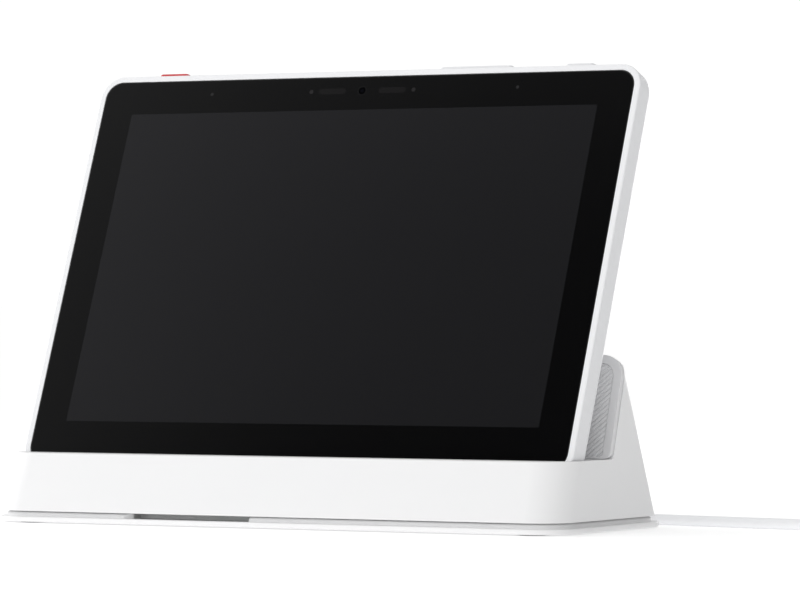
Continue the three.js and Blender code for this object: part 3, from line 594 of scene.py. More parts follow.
board_green, tree, shader = new_material("circuit board")
place = node(tree, "TexCoord").outputs["Object"]
runs = node(tree, "TexBrick", {"Vector": place, "Scale": 160, "Mortar Size": 0.035, "Bias": 0.2})
runs.inputs["Color1"].default_value = (0.006, 0.055, 0.028, 1)
runs.inputs["Color2"].default_value = (0.008, 0.075, 0.036, 1)
runs.inputs["Mortar"].default_value = (0.03, 0.17, 0.08, 1)
vias = node(tree, "TexVoronoi", {"Vector": place, "Scale": 320}).outputs["Distance"]
via_mask = math_node(tree, "LESS_THAN", vias, 0.16)
tinned = mix_colours(tree, via_mask, runs.outputs["Color"], (0.5, 0.46, 0.3, 1))
tree.links.new(tinned, shader.inputs["Base Color"])
tree.links.new(math_node(tree, "MULTIPLY_ADD", via_mask, -0.1, 0.36), shader.inputs["Roughness"])
add_bump(tree, shader, runs.outputs["Fac"], 0.3, 0.03 * MM)

strap_pile, tree, shader = new_material("hook and loop strap")
place = node(tree, "TexCoord").outputs["Object"]
loops = node(tree, "TexVoronoi", {"Vector": place, "Scale": 2600}).outputs["Distance"]
tuft = node(tree, "ValToRGB", {"Fac": loops})
tuft.color_ramp.elements[0].color = (0.045, 0.045, 0.05, 1)
tuft.color_ramp.elements[1].color = (0.008, 0.008, 0.01, 1)
tree.links.new(tuft.outputs[0], shader.inputs["Base Color"])
tree.links.new(math_node(tree, "MULTIPLY_ADD", loops, 0.2, 0.75), shader.inputs["Roughness"])
shader.inputs["Sheen Weight"].default_value = 0.4
add_bump(tree, shader, loops, 0.8, 0.2 * MM)

floor_look, tree, shader = new_material("pale floor")
speckle = noise(tree, node(tree, "TexCoord").outputs["Object"], 40, 2)
pale = node(tree, "ValToRGB", {"Fac": speckle})
pale.color_ramp.elements[0].color = (0.90, 0.90, 0.90, 1)
pale.color_ramp.elements[1].color = (0.93, 0.93, 0.93, 1)
tree.links.new(pale.outputs[0], shader.inputs["Base Color"])
shader.inputs["Roughness"].default_value = 0.9
shader.inputs["Specular IOR Level"].default_value = 0.1
shader.inputs["Emission Color"].default_value = (1, 1, 1, 1)
shader.inputs["Emission Strength"].default_value = 0.30
floor.data.materials.append(floor_look)
print("materials:", len(bpy.data.materials))

# %% [markdown]
# ## The black glass
# Behind the cover glass lies a black printed border with a window for the screen, which is off and dark
# grey. The camera, two light dots, two long sensor windows and two microphone holes sit in a row above it.
# All of these are flat, so they belong in the material. Each is a soft-edged mask measured in the
# display's own flat frame.

# %% Masks on the glass
glass_black, tree, shader = new_material("black cover glass")
place = node(tree, "TexCoord").outputs["Object"]
shifted = node(tree, "VectorMath", {0: place, 1: tuple(-display_centre)}, operation="ADD").outputs[0]
along = [node(tree, "VectorMath", {0: shifted, 1: tuple(axis)}, operation="DOT_PRODUCT").outputs["Value"]
         for axis in (RIGHT, UP)]


def soft_step(value, width):
    """1 where the value is below 0, 0 where it is above, with a soft change of the given width."""
    ramp = node(tree, "MapRange", {"Value": value, "From Min": -width / 2, "From Max": width / 2,
                                   "To Min": 1, "To Max": 0}, interpolation_type="SMOOTHSTEP")
    return ramp.outputs[0]


def pill(x, up, width, height, radius, softness):
    """A mask of a rectangle with round corners."""
    reaches = []
    for value, centre, size in ((along[0], x, width), (along[1], up, height)):
        away = math_node(tree, "ABSOLUTE", math_node(tree, "SUBTRACT", value, centre))
        reaches.append(math_node(tree, "MAXIMUM", math_node(tree, "SUBTRACT", away, size / 2 - radius), 0))
    far = math_node(tree, "SQRT", math_node(tree, "ADD", math_node(tree, "POWER", reaches[0], 2),
                                            math_node(tree, "POWER", reaches[1], 2)))
    return soft_step(math_node(tree, "SUBTRACT", far, radius), softness)


SCREEN_UP = 1.13 * MM
SCREEN_WIDTH = 172.22 * MM
SCREEN_HEIGHT = 107.64 * MM
SENSOR_UP = display_height / 2 - 7.15 * MM
WINDOW_X = 11.1 * MM
LIGHT_X = 18.9 * MM
MICROPHONE_X = 56.6 * MM
LINE = 0.12 * MM
screen = pill(0, SCREEN_UP, SCREEN_WIDTH, SCREEN_HEIGHT, 0.25 * MM, LINE)
windows = [pill(x, SENSOR_UP, 10 * MM, 2 * MM, 0.99 * MM, LINE) for x in (-WINDOW_X, WINDOW_X)]
dots = [pill(x, SENSOR_UP, 1.4 * MM, 1.4 * MM, 0.69 * MM, LINE * 2) for x in (-LIGHT_X, LIGHT_X)]
holes = [pill(x, SENSOR_UP, 1.1 * MM, 1.1 * MM, 0.54 * MM, LINE * 3) for x in (-MICROPHONE_X, MICROPHONE_X)]
lens_rings = [pill(0, SENSOR_UP, size, size, size / 2.01, LINE) for size in (3.2 * MM, 2.6 * MM, 1.3 * MM)]
print("glass masks:", 1 + len(windows + dots + holes + lens_rings))

# %% Colours of the glass and a painted reflection
# Painted reflection: the screen's dark grey is a shade lighter towards the upper left and darker towards the
# lower right, standing in for the room's light mirrored in the glass.
diagonal = math_node(tree, "SUBTRACT", along[0], along[1])
painted_reflection_fade = node(tree, "MapRange", {"Value": diagonal, "From Min": -130 * MM, "From Max": 130 * MM}).outputs[0]
cells = noise(tree, place, 3200, 1)
panel = mix_colours(tree, painted_reflection_fade, (0.0135, 0.0135, 0.0150, 1), (0.0120, 0.0120, 0.0130, 1))
panel = node(tree, "VectorMath", {0: panel, "Scale": math_node(tree, "MULTIPLY_ADD", cells, 0.08, 0.96)},
             operation="SCALE").outputs[0]
WINDOW_PAINT = (0.0082, 0.0078, 0.0082, 1)
DOT_PAINT = (0.020, 0.019, 0.020, 1)
HOLE_PAINT = (0.022, 0.022, 0.023, 1)
LENS_PAINTS = [(0.0080, 0.0080, 0.0085, 1), (0.014, 0.014, 0.016, 1), (0.030, 0.032, 0.045, 1)]
BORDER_PAINT = (0.0030, 0.0030, 0.0032, 1)
layers = [(screen, panel)]
for masks, paint in ((windows, WINDOW_PAINT), (dots, DOT_PAINT), (holes, HOLE_PAINT)):
    layers += [(mask, paint) for mask in masks]
layers += zip(lens_rings, LENS_PAINTS)
colour = BORDER_PAINT
for mask, paint in layers:
    colour = mix_colours(tree, mask, colour, paint)
tree.links.new(colour, shader.inputs["Base Color"])
tree.links.new(lens_rings[1], shader.inputs["Metallic"])
smear = noise(tree, place, 35, 4, 0.6)
tree.links.new(math_node(tree, "MULTIPLY_ADD", smear, 0.05, 0.05), shader.inputs["Roughness"])
print("glass colour layers:", len(layers))

# %% [markdown]
# ## The display unit's outside
# From the front the unit is a thin white frame with the glass let into it. The frame's front edge is
# softly rounded and its side is a flat band. Behind a fine seam the rear cover goes on, rounds over, and
# swells into a bulge that holds the battery and board and rests on the dock. Each is lofted from the same
# outline, so the seam stays even.

# %% Cover glass
DISPLAY_CORNER = 7.8 * MM
RIM = 2.15 * MM
GLASS_THICKNESS = 1.1 * MM
FRAME_DEPTH = 6.5 * MM
BODY_DEPTH = 9.5 * MM
HUMP_DEPTH = -reach("speaker_grille", OUT)[0] + glass_level
GAP = 0.3 * MM


def display_shape(inset):
    radius = max(DISPLAY_CORNER - inset, 0.8 * MM)
    return rounded_rect(display_width - 2 * inset, display_height - 2 * inset, radius)


cover_glass = slab("black_glass", lambda inset: display_shape(RIM + inset), -GLASS_THICKNESS, 0,
                   0.1 * MM, 0.22 * MM, seated, steps=4)
finish_piece(cover_glass, "display", glass_black, ["cover_glass"], sharp=60)

# %% Front frame
RIM_FALL, RIM_ROUND = 0.45 * MM, 0.5 * MM
rim_edge = [(RIM_FALL * (math.sin(a) - 1), RIM_ROUND * (1 - math.cos(a))) for a in quarter_turn(7)]
frame_levels = edge(-FRAME_DEPTH, -RIM_FALL, 0.22 * MM, 0, 4)[:-1] + rim_edge + [(0, 1.0 * MM)]
front_frame = loft("front_frame", [(level, display_shape(inset)) for level, inset in frame_levels], seated)
WALL = 1.8 * MM
WEB = -2 * MM
panel_box = [reach("lcd_panel", axis) for axis in (RIGHT, UP)]
panel_size = [high - low + 2 * GAP for low, high in panel_box]
panel_up = sum(panel_box[1]) / 2 - display_centre.dot(UP)
tools = [
    prism(display_shape(RIM - 0.1 * MM), -GLASS_THICKNESS - GAP / 2, 1 * MM, seated),
    prism(display_shape(WALL), -FRAME_DEPTH - MM, WEB, seated),
    prism(rounded_rect(*panel_size, 2 * MM, 0, panel_up), -FRAME_DEPTH - MM, MM, seated),
]
carve(front_frame, tools)
key_places = []
for name in ("sos_button", "volume_key", "power_button"):
    left, right = reach(name + "_board", RIGHT)
    key_places.append((name, (left + right) / 2, right - left + MM))
KEY_DEPTH = 3 * MM
KEY_MIDDLE = -3.8 * MM
KEY_PLAY = 0.18 * MM
CONTACT_DEPTH = -4.2 * MM
top_edge = display_height / 2
tools = []
for _, x, width in key_places:
    opening = rounded_rect(width + 2 * KEY_PLAY, KEY_DEPTH + 2 * KEY_PLAY, KEY_DEPTH / 2 + 0.17 * MM,
                           x, KEY_MIDDLE)
    tools.append(prism(opening, top_edge - WALL - MM, top_edge + MM, across_top))
contact_opening = rounded_rect(29 * MM, 3.4 * MM, 0.6 * MM, 0, CONTACT_DEPTH)
tools.append(prism(contact_opening, -top_edge - MM, -top_edge + WALL + MM, across_top))
for x in (-MICROPHONE_X, -LIGHT_X, 0, LIGHT_X, MICROPHONE_X):
    radius = 0.7 * MM if x else 2.6 * MM
    tools.append(prism(circle(radius, x, SENSOR_UP, 20), WEB - MM, 0, seated))
carve(front_frame, tools)
finish_piece(front_frame, "display", rim_white, ["display_frame"])

# %% Rear cover
HUMP_SLOPE = 6 * MM
HUMP_CORNER = 12 * MM
hump_width = display_width - 2 * 7.9 * MM
hump_height = display_height - 2 * 19.75 * MM
HUMP_ROUND = 2.2 * MM
HUMP_FILLET = 1.6 * MM


def hump_shape(inset):
    return rounded_rect(hump_width - 2 * inset, hump_height - 2 * inset, HUMP_CORNER - inset / 2)


def rear_levels(wall):
    """(level, outline) rings from the seam to the bulge's back, moved inwards by the wall."""
    quarter = quarter_turn(8)
    start = -FRAME_DEPTH - GAP
    rings = [(start, display_shape(wall + 0.3 * MM))]
    for a in quarter:
        level = start - 0.15 * MM - (2.5 * MM - wall) * math.sin(a)
        rings.append((level, display_shape(wall + 0.2 * MM + 2.6 * MM * (1 - math.cos(a)))))
    back = -BODY_DEPTH + wall
    rings.append((back, display_shape(wall + 3.2 * MM)))
    rings.append((back, hump_shape(wall - 2.6 * MM)))
    for a in quarter:
        inset = wall - HUMP_ROUND * (1 - math.sin(a))
        rings.append((back - HUMP_FILLET * (1 - math.cos(a)), hump_shape(inset)))
    top = -HUMP_DEPTH + wall
    for a in quarter:
        inset = wall + HUMP_SLOPE - 0.8 * MM + HUMP_ROUND * (1 - math.cos(a))
        rings.append((top + HUMP_ROUND * (1 - math.sin(a)), hump_shape(inset)))
    rings.append((top, hump_shape(wall + HUMP_SLOPE + 2.4 * MM)))
    return rings


rear_cover = loft("rear_cover_shell", rear_levels(0), seated)
hollow = loft("tool", [(1 * MM - FRAME_DEPTH, display_shape(1.7 * MM)), *rear_levels(1.7 * MM)[2:]], seated)
grille_box = [reach("speaker_grille", axis) for axis in (RIGHT, UP)]
grille_up = sum(grille_box[1]) / 2 - display_centre.dot(UP)
GRILLE = (grille_box[0][1] * 2, grille_box[1][1] - grille_box[1][0])


def grille_shape(inset):
    height = GRILLE[1] - 2 * inset
    return rounded_rect(GRILLE[0] - 2 * inset, height, height / 2.001, 0, grille_up)


recess = prism(grille_shape(-0.15 * MM), -HUMP_DEPTH - MM, -HUMP_DEPTH + 1.2 * MM, seated)
sound_opening = prism(grille_shape(1.4 * MM), -HUMP_DEPTH - MM, -HUMP_DEPTH + 3 * MM, seated)
carve(rear_cover, [hollow, recess, sound_opening])
finish_piece(rear_cover, "display", rim_white, ["rear_cover"])

# %% [markdown]
# ## Speaker grille
# The grille is a stadium-shaped plate with rows of small round holes. Cutting each hole by hand would be a
# chore, so a Geometry Nodes tree lays a grid of points over the plate, drops those too near its rounded
# ends, puts a small drill on every point that is left, and cuts all of them at once.

# %% Node tree tools
def geometry_tree(name, inputs):
    """A Geometry Nodes tree with a geometry input and output and named inputs for its sizes."""
    made = bpy.data.node_groups.new(name, "GeometryNodeTree")
    made.interface.new_socket("Geometry", in_out="INPUT", socket_type="NodeSocketGeometry")
    made.interface.new_socket("Geometry", in_out="OUTPUT", socket_type="NodeSocketGeometry")
    for label, kind in inputs:
        made.interface.new_socket(label, in_out="INPUT", socket_type="NodeSocket" + kind)
    return made, made.nodes.new("NodeGroupInput").outputs, made.nodes.new("NodeGroupOutput")


def geo(tree, kind, inputs=(), **settings):
    """A node that only Geometry Nodes have. Math nodes are the same in both kinds of tree."""
    return node(tree, kind, inputs, "GeometryNode", **settings)


def grow(piece, tree, values):
    """Runs a Geometry Nodes tree on a piece with the given named inputs and keeps the plain mesh."""
    modifier = piece.modifiers.new(tree.name, "NODES")
    modifier.node_group = tree
    for item in tree.interface.items_tree:
        if item.item_type == "SOCKET" and item.in_out == "INPUT" and item.name in values:
            modifier[item.identifier] = values[item.name]
    settle(piece)


# A flat tree is laid out in the display's own frame, and this turns its result into the row frame
display_turn = Matrix((RIGHT, UP, OUT)).transposed().to_4x4()


def seat(piece):
    """Moves a mesh drawn flat, round the origin, to its place in the display's frame."""
    piece.data.transform(Matrix.Translation(display_centre) @ display_turn)


# %% Perforate the grille
perforate, given, out = geometry_tree("perforate", [
    ("Columns", "Int"), ("Rows", "Int"), ("Pitch", "Float"), ("Hole", "Float"), ("Thickness", "Float"),
    ("Middle", "Vector"), ("Half Straight", "Float"), ("Clear Radius", "Float"), ("Material", "Material")])
across = math_node(perforate, "SUBTRACT", given["Columns"], 1)
upward = math_node(perforate, "SUBTRACT", given["Rows"], 1)
size_x = math_node(perforate, "MULTIPLY", across, given["Pitch"])
size_y = math_node(perforate, "MULTIPLY", upward, given["Pitch"])
grid = geo(perforate, "MeshGrid", {"Size X": size_x, "Size Y": size_y,
                                   "Vertices X": given["Columns"], "Vertices Y": given["Rows"]})
split = node(perforate, "SeparateXYZ", {0: geo(perforate, "InputPosition").outputs[0]}).outputs
far_x = math_node(perforate, "ABSOLUTE", split["X"])
past = math_node(perforate, "SUBTRACT", far_x, given["Half Straight"])
past = math_node(perforate, "MAXIMUM", past, 0.0)
away = node(perforate, "CombineXYZ", {"X": past, "Y": split["Y"]}).outputs[0]
length = node(perforate, "VectorMath", {0: away}, operation="LENGTH").outputs["Value"]
too_far = node(perforate, "Compare", {0: length, 1: given["Clear Radius"]}, "FunctionNode",
               operation="GREATER_THAN").outputs[0]
kept = geo(perforate, "DeleteGeometry", {"Geometry": grid.outputs[0], "Selection": too_far},
           domain="POINT").outputs[0]
moved = geo(perforate, "SetPosition", {"Geometry": kept, "Offset": given["Middle"]}).outputs[0]
drill = geo(perforate, "MeshCylinder", {"Vertices": 10, "Radius": given["Hole"],
                                        "Depth": given["Thickness"]}).outputs[0]
drills = geo(perforate, "InstanceOnPoints", {"Points": moved, "Instance": drill}).outputs[0]
drills = geo(perforate, "RealizeInstances", {"Geometry": drills}).outputs[0]
holed = geo(perforate, "MeshBoolean", {"Mesh 1": given["Geometry"], "Mesh 2": drills},
            operation="DIFFERENCE", solver="EXACT").outputs[0]
looked = geo(perforate, "SetMaterial", {"Geometry": holed, "Material": given["Material"]}).outputs[0]
perforate.links.new(looked, out.inputs[0])

grille_thickness = 0.9 * MM
speaker_grille = slab("grille_plate", grille_shape, -HUMP_DEPTH, -HUMP_DEPTH + grille_thickness, 0.2 * MM)
grow(speaker_grille, perforate, {
    "Columns": 49, "Rows": 6, "Pitch": 1.8 * MM, "Hole": 0.55 * MM, "Thickness": 4 * MM,
    "Middle": (0, grille_up, -HUMP_DEPTH), "Half Straight": (GRILLE[0] - GRILLE[1]) / 2,
    "Clear Radius": GRILLE[1] / 2 - 1.3 * MM, "Material": grille_white})
clean(speaker_grille)
seat(speaker_grille)
finish_piece(speaker_grille, "display", grille_white, ["speaker_grille"])

# %% [markdown]
# ## Keys
# Three keys stand a little proud of the top edge: a red emergency button, a long volume key and a power
# button. Each is a pill-shaped cap with a rounded top. Inside, a wider flange keeps it from falling out
# and studs press the switches. One function makes all three from the widths measured above.

# %% Three keys
def key_piece(name, x, width, look, studs, grip):
    top = reach(name, UP)[1] - display_centre.dot(UP)
    low = reach(name, UP)[0] - display_centre.dot(UP)
    shoulder = low + 1.5 * MM

    def cap_shape(inset):
        depth = KEY_DEPTH - 2 * inset
        return rounded_rect(width - 2 * inset, depth, depth / 2.002, x, KEY_MIDDLE)

    cap = slab(name + "_cap", cap_shape, shoulder - 0.8 * MM, top, 0, 0.55 * MM, across_top)
    flange_shape = rounded_rect(2 * grip, KEY_DEPTH, 0.6 * MM, x, KEY_MIDDLE)
    flange = prism(flange_shape, low + 0.7 * MM, shoulder, across_top)
    pegs = [prism(circle(0.9 * MM, x + at, KEY_MIDDLE, 20), low, shoulder - 0.4 * MM, across_top)
            for at in studs]
    carve(cap, [flange, *pegs], "UNION")
    return finish_piece(cap, name, look, [name])


key_looks = {"sos_button": (alarm_red, "red_plastic", [0], 6.5 * MM),
             "volume_key": (key_white, "white_plastic", [-8 * MM, 8 * MM], 6 * MM),
             "power_button": (key_white, "white_plastic", [0], 6.05 * MM)}
for name, x, width in key_places:
    look, slot, studs, grip = key_looks[name]
    key_piece(name, x, width, look, studs, grip)

# %% [markdown]
# ## The dock's shell
# The dock is one moulding: low walls in front and at the sides, and a wedge behind them whose slope
# carries the display. Its sides draft in slightly, so that it leaves the mould. It is lofted as a block
# from its base to its top, and then cut: the open space above the low walls, the pocket for the display,
# and the hollow from below.

# %% Dock outline and levels
DOCK_CORNER = 11.5 * MM
SIDE_DRAFT = math.tan(math.radians(2.2))
BACK_SLOPE = math.tan(math.radians(21.1))
LEDGE = 22.25 * MM
dock_half_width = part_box("dock_shell")[1].x
dock_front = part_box("dock_shell")[0].y
dock_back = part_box("dock_shell")[1].y
DOCK_WALL = 2.3 * MM


def dock_shape(z, inset=0):
    """The dock's outline at a height, moved inwards."""
    half = dock_half_width - (z - dock_bottom) * SIDE_DRAFT - inset
    front = dock_front + (z - dock_bottom) * math.tan(lean) + inset / math.cos(lean)
    back = dock_back - (z - dock_bottom) * BACK_SLOPE - inset
    return rounded_rect(2 * half, back - front, max(DOCK_CORNER - inset, MM), 0, (front + back) / 2, 20)


pad_face = reach("rest_pad", OUT)[1] - glass_level
pad_back = reach("rest_pad", OUT)[0] - glass_level
slope_out = pad_back - GAP


def up_at(z, out):
    """How far up the display's frame a height above the desk lies, on a plane behind the glass."""
    return (z - display_centre.z - out * OUT.z) / UP.z


def side_view(points, half=dock_half_width + 5 * MM):
    """A prism across the dock from a closed outline of (y, z) points."""
    return prism(points, -half, half, lambda y, z, x: Vector((x, y, z)))


def from_seat(up, out):
    """A point of the display's frame as (y, z)."""
    place = seated(0, up, out)
    return place.y, place.z


def slope_shape(z, inset, low_radius, top_radius=7.5 * MM, low_inset=None):
    """The dock's outline in the plane of its slope, from a height z to its top."""
    low, high = up_at(z, pad_face), up_at(dock_top, pad_face) - inset
    low += inset if low_inset is None else low_inset
    low_half = dock_half_width - (z - dock_bottom) * SIDE_DRAFT - inset
    high_half = dock_half_width - (dock_top - dock_bottom) * SIDE_DRAFT - inset
    return outline([(-low_half, low, low_radius), (low_half, low, low_radius),
                    (high_half, high, top_radius), (-high_half, high, top_radius)], 14)


print(f"slope from {LEDGE:.4f} to {dock_top:.4f} m")

# %% Outside of the dock
FOOT_ROUND = 0.35 * MM
FAR = 0.2
dock_rings = []
for a in quarter_turn(4):
    z = dock_bottom + FOOT_ROUND * (1 - math.cos(a))
    dock_rings.append((z, dock_shape(z, FOOT_ROUND * (1 - math.sin(a)))))
dock_rings.append((dock_top + MM, dock_shape(dock_top + MM)))
dock_shell = loft("dock_body", dock_rings)
corner = from_seat(up_at(LEDGE, slope_out), slope_out)
top_point = from_seat(up_at(dock_top + 5 * MM, slope_out), slope_out)
fillet = 1.6 * MM
above = outline([(-FAR, LEDGE, 0), (*corner, fillet), (*top_point, 0), (-FAR, top_point[1], 0)], 6)
keep = prism(slope_shape(-FAR, 0, 0.1 * MM), -FAR, FAR, seated)
POCKET_PLAY = 0.45 * MM
POCKET_BACK = -10.1 * MM
pocket = prism(display_shape(-POCKET_PLAY), POCKET_BACK, 0.5 * MM, seated)
cut_away = side_view(above)
carve(dock_shell, [keep], "INTERSECT")
carve(dock_shell, [cut_away, pocket])
soften(dock_shell, 0.55 * MM, 4)
print("dock outside:", len(dock_shell.data.polygons), "faces")

# %% Hollow, bosses and openings of the dock
POCKET_FLOOR = -display_height / 2 - 0.5 * MM
inner_back = slope_out - DOCK_WALL
under_ledge = LEDGE - 2 * MM
inside = loft("tool", [(dock_bottom - MM, dock_shape(dock_bottom - MM, DOCK_WALL)),
                       (dock_top - 2 * MM, dock_shape(dock_top - 2 * MM, DOCK_WALL))])
under = [(-FAR, dock_bottom - 2 * MM), from_seat(POCKET_FLOOR - 2 * MM, FAR),
         from_seat(POCKET_FLOOR - 2 * MM, POCKET_BACK - 2 * MM),
         from_seat(up_at(under_ledge, POCKET_BACK - 2 * MM), POCKET_BACK - 2 * MM),
         from_seat(up_at(under_ledge, inner_back), inner_back),
         from_seat(up_at(dock_top - 4 * MM, inner_back), inner_back),
         (FAR, dock_top - 4 * MM), (FAR, dock_bottom - 2 * MM)]
carve(inside, [side_view(under)], "INTERSECT")


def middles(kind):
    """(x, y) of the middle of each of four like pieces of the working model."""
    boxes = [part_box(f"{kind}_{i}") for i in range(1, 5)]
    return [((low.x + high.x) / 2, (low.y + high.y) / 2) for low, high in boxes]


screw_places = middles("base_screw")
bosses = []
for x, y in screw_places:
    boss_top = LEDGE + 4 * MM if y > 0 else LEDGE - 3 * MM
    bosses.append(prism(circle(3.6 * MM, x, y), dock_bottom, boss_top))
pilots = [prism(circle(1.5 * MM, x, y, 20), dock_bottom - MM, dock_bottom + 8 * MM)
          for x, y in screw_places]
carve(inside, bosses)
window_shape = rounded_rect(26 * MM, 5.6 * MM, 0.6 * MM, 0, CONTACT_DEPTH)
window = prism(window_shape, POCKET_FLOOR - 3 * MM, POCKET_FLOOR + MM, across_top)
EXIT_UP = EXIT_HEIGHT * MM
relief_hole = prism(circle(3.7 * MM, 0, EXIT_UP), 0.015, 0.06, lambda x, z, y: Vector((x, y, z)))
carve(dock_shell, [inside, *pilots, window, relief_hole])
finish_piece(dock_shell, "dock", dock_white, ["dock_shell"])

# %% [markdown]
# ## The ribbed rest pad
# A grey silicone pad covers the slope, so the display doesn't slide or scratch. It has a smooth border and
# a sunk field of fine ribs that rise to the right. The pad's body is one loft down into the field. The
# ribs are a job for Geometry Nodes: one long half-round bar is put at every step of a line, turned, and
# trimmed to the field's outline.

# %% Pad body
PAD_BORDER = 2.7 * MM
LOW_SHARE = 0.26
FIELD_DEPTH = 0.35 * MM
pad_low = LEDGE + 0.12 * MM


def pad_shape(inset, level):
    low_radius = 2.2 * MM - min(inset, PAD_BORDER) * 0.45
    low = pad_low + (pad_face - level) * OUT.z
    return slope_shape(low, 0.1 * MM + inset, low_radius, 7.5 * MM - min(inset, 4 * MM), inset * LOW_SHARE)


pad_edge = edge(pad_back, pad_face, 0.15 * MM, 0.3 * MM)[:-1]
pad_rings = [(level, pad_shape(inset, level)) for level, inset in pad_edge]
pad_rings.append((pad_face, pad_shape(PAD_BORDER - 0.4 * MM, pad_face)))
for a in quarter_turn(4):
    ring = pad_shape(PAD_BORDER + 0.25 * MM * math.sin(a), pad_face)
    pad_rings.append((pad_face - FIELD_DEPTH * math.sin(a) ** 2, ring))
pad_rings.append((pad_face - FIELD_DEPTH, pad_shape(PAD_BORDER + 0.6 * MM, pad_face)))
rest_pad = loft("pad_body", pad_rings)

# %% Ribs over the pad's field
ribbed, given, out = geometry_tree("ribs in a field", [
    ("Ribs", "Int"), ("Pitch", "Float"), ("Length", "Float"), ("Radius", "Float"), ("Turn", "Float"),
    ("Middle", "Vector"), ("Material", "Material")])
spread = math_node(ribbed, "MULTIPLY", given["Ribs"], given["Pitch"])
half = math_node(ribbed, "MULTIPLY", spread, -0.5)
first = node(ribbed, "CombineXYZ", {"Y": half}).outputs[0]
stride = node(ribbed, "CombineXYZ", {"Y": given["Pitch"]}).outputs[0]
row = geo(ribbed, "MeshLine", {"Count": given["Ribs"], "Start Location": first, "Offset": stride},
          mode="OFFSET").outputs[0]
bar = geo(ribbed, "MeshCylinder", {"Vertices": 12, "Radius": given["Radius"],
                                   "Depth": given["Length"]}).outputs[0]
laid = geo(ribbed, "Transform", {"Geometry": bar, "Rotation": (0, math.pi / 2, 0)}).outputs[0]
bars = geo(ribbed, "InstanceOnPoints", {"Points": row, "Instance": laid}).outputs[0]
turn = node(ribbed, "CombineXYZ", {"Z": given["Turn"]}).outputs[0]
turned_bars = geo(ribbed, "Transform", {"Geometry": bars, "Rotation": turn,
                                        "Translation": given["Middle"]}).outputs[0]
real = geo(ribbed, "RealizeInstances", {"Geometry": turned_bars}).outputs[0]
trimmed = geo(ribbed, "MeshBoolean", {"Mesh 2": given["Geometry"]}, operation="INTERSECT", solver="EXACT")
ribbed.links.new(real, trimmed.inputs["Mesh 2"])
looked = geo(ribbed, "SetMaterial", {"Geometry": trimmed.outputs[0],
                                     "Material": given["Material"]}).outputs[0]
ribbed.links.new(looked, out.inputs[0])

field_low, field_high = up_at(pad_low, pad_face), up_at(dock_top, pad_face)
field = pad_shape(PAD_BORDER + 0.3 * MM, pad_face)
ribs = prism(field, pad_face - FIELD_DEPTH - 0.1 * MM, pad_face + 2 * MM)
ribs.name = "pad_ribs"
RIB_ANGLE = math.radians(45)
grow(ribs, ribbed, {"Ribs": 126, "Pitch": 1.3 * MM, "Length": 0.17, "Radius": 0.62 * MM, "Turn": RIB_ANGLE,
                    "Middle": (0, (field_low + field_high) / 2, pad_face - FIELD_DEPTH - 0.3 * MM),
                    "Material": pad_grey})
print("ribs:", len(ribs.data.polygons), "faces")
carve(rest_pad, [ribs], "UNION")
seat(rest_pad)
finish_piece(rest_pad, "dock", pad_grey, ["rest_pad"])

# %% [markdown]
# ## Base plate and feet
# A thin plate stands out a little all round under the dock, with a recessed neck above it, so that the
# dock seems to float. The neck has a shallow slot at the front left. One loft goes up the plate's rounded
# edge, in across its top and up the neck, which curves in under the dock. Four low rubber feet are turned,
# with ring grooves underneath, and sit in round recesses.

# %% Base plate
plate_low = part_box("foot_1")[0].z + 0.4 * MM
plate_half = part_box("base_plate")[1]
PLATE_TOP = 2.1 * MM
NECK_TOP = dock_bottom - 0.06 * MM
PLATE_CORNER = 12.5 * MM
NECK_INSET = 2 * MM


def plate_shape(inset):
    width, depth = 2 * (plate_half.x - inset), 2 * (plate_half.y - inset)
    return rounded_rect(width, depth, PLATE_CORNER - inset, steps=20)


plate_rings = edge(plate_low, PLATE_TOP, 0.55 * MM, 0.45 * MM)[:-1]
NECK_CURVE = [(0, -0.35), (0.03, -0.12), (0.15, 0), (0.7, 0.15), (1.05, 0.4), (1.35, 0.8), (1.5, 1.3)]
plate_rings += [(PLATE_TOP + up * MM, NECK_INSET + inward * MM) for up, inward in NECK_CURVE]
plate_rings.append((NECK_TOP, NECK_INSET + 1.7 * MM))
base_plate = loft("base_plate_body", [(z, plate_shape(inset)) for z, inset in plate_rings])
foot_places = middles("foot")
board_low, board_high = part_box("dock_board")
board_y = (board_low.y + board_high.y) / 2
posts = [prism(circle(1.6 * MM, x * 24 * MM, board_y + y * 8 * MM, 20), NECK_TOP - MM, board_low.z - GAP)
         for x in (-1, 1) for y in (-1, 1)]
carve(base_plate, posts, "UNION")
SLOT_X, SLOT_WIDTH, SLOT_DEPTH = -29.3 * MM, 46.2 * MM, 6.5 * MM
slot_y = -plate_half.y + NECK_INSET
slot_left, slot_right = SLOT_X - SLOT_WIDTH / 2, SLOT_X + SLOT_WIDTH / 2
SLOT_RAMP = 2.6 * MM
slot_corners = [(slot_left, slot_y, 0), (slot_left, slot_y - MM, 0), (slot_right, slot_y - MM, 0),
                (slot_right, slot_y + SLOT_DEPTH, 0.6 * MM),
                (slot_left + SLOT_RAMP, slot_y + SLOT_DEPTH, 0.6 * MM),
                (slot_left + SLOT_RAMP, slot_y + 2 * MM, 0.8 * MM)]
tools = [prism(outline(slot_corners, 5), PLATE_TOP + 0.02 * MM, NECK_TOP + MM)]
tools += [prism(circle(1.55 * MM, x, y, 20), 0, NECK_TOP + MM) for x, y in screw_places]
tools += [prism(circle(2.9 * MM, x, y, 28), 0, plate_low + 1.6 * MM) for x, y in screw_places]
tools += [prism(circle(5.15 * MM, x, y, 40), 0, plate_low + 0.6 * MM) for x, y in foot_places]
carve(base_plate, tools)
finish_piece(base_plate, "dock", dock_white, ["base_plate"])


# %% Turned pieces
def turned(name, profile, place, sides=40):
    """A closed body turned from a profile of (radius, level), on the axis at both ends."""
    rings = [(level, circle(max(radius, 0.01 * MM), sides=sides)) for radius, level in profile]
    return loft(name, rings, place)


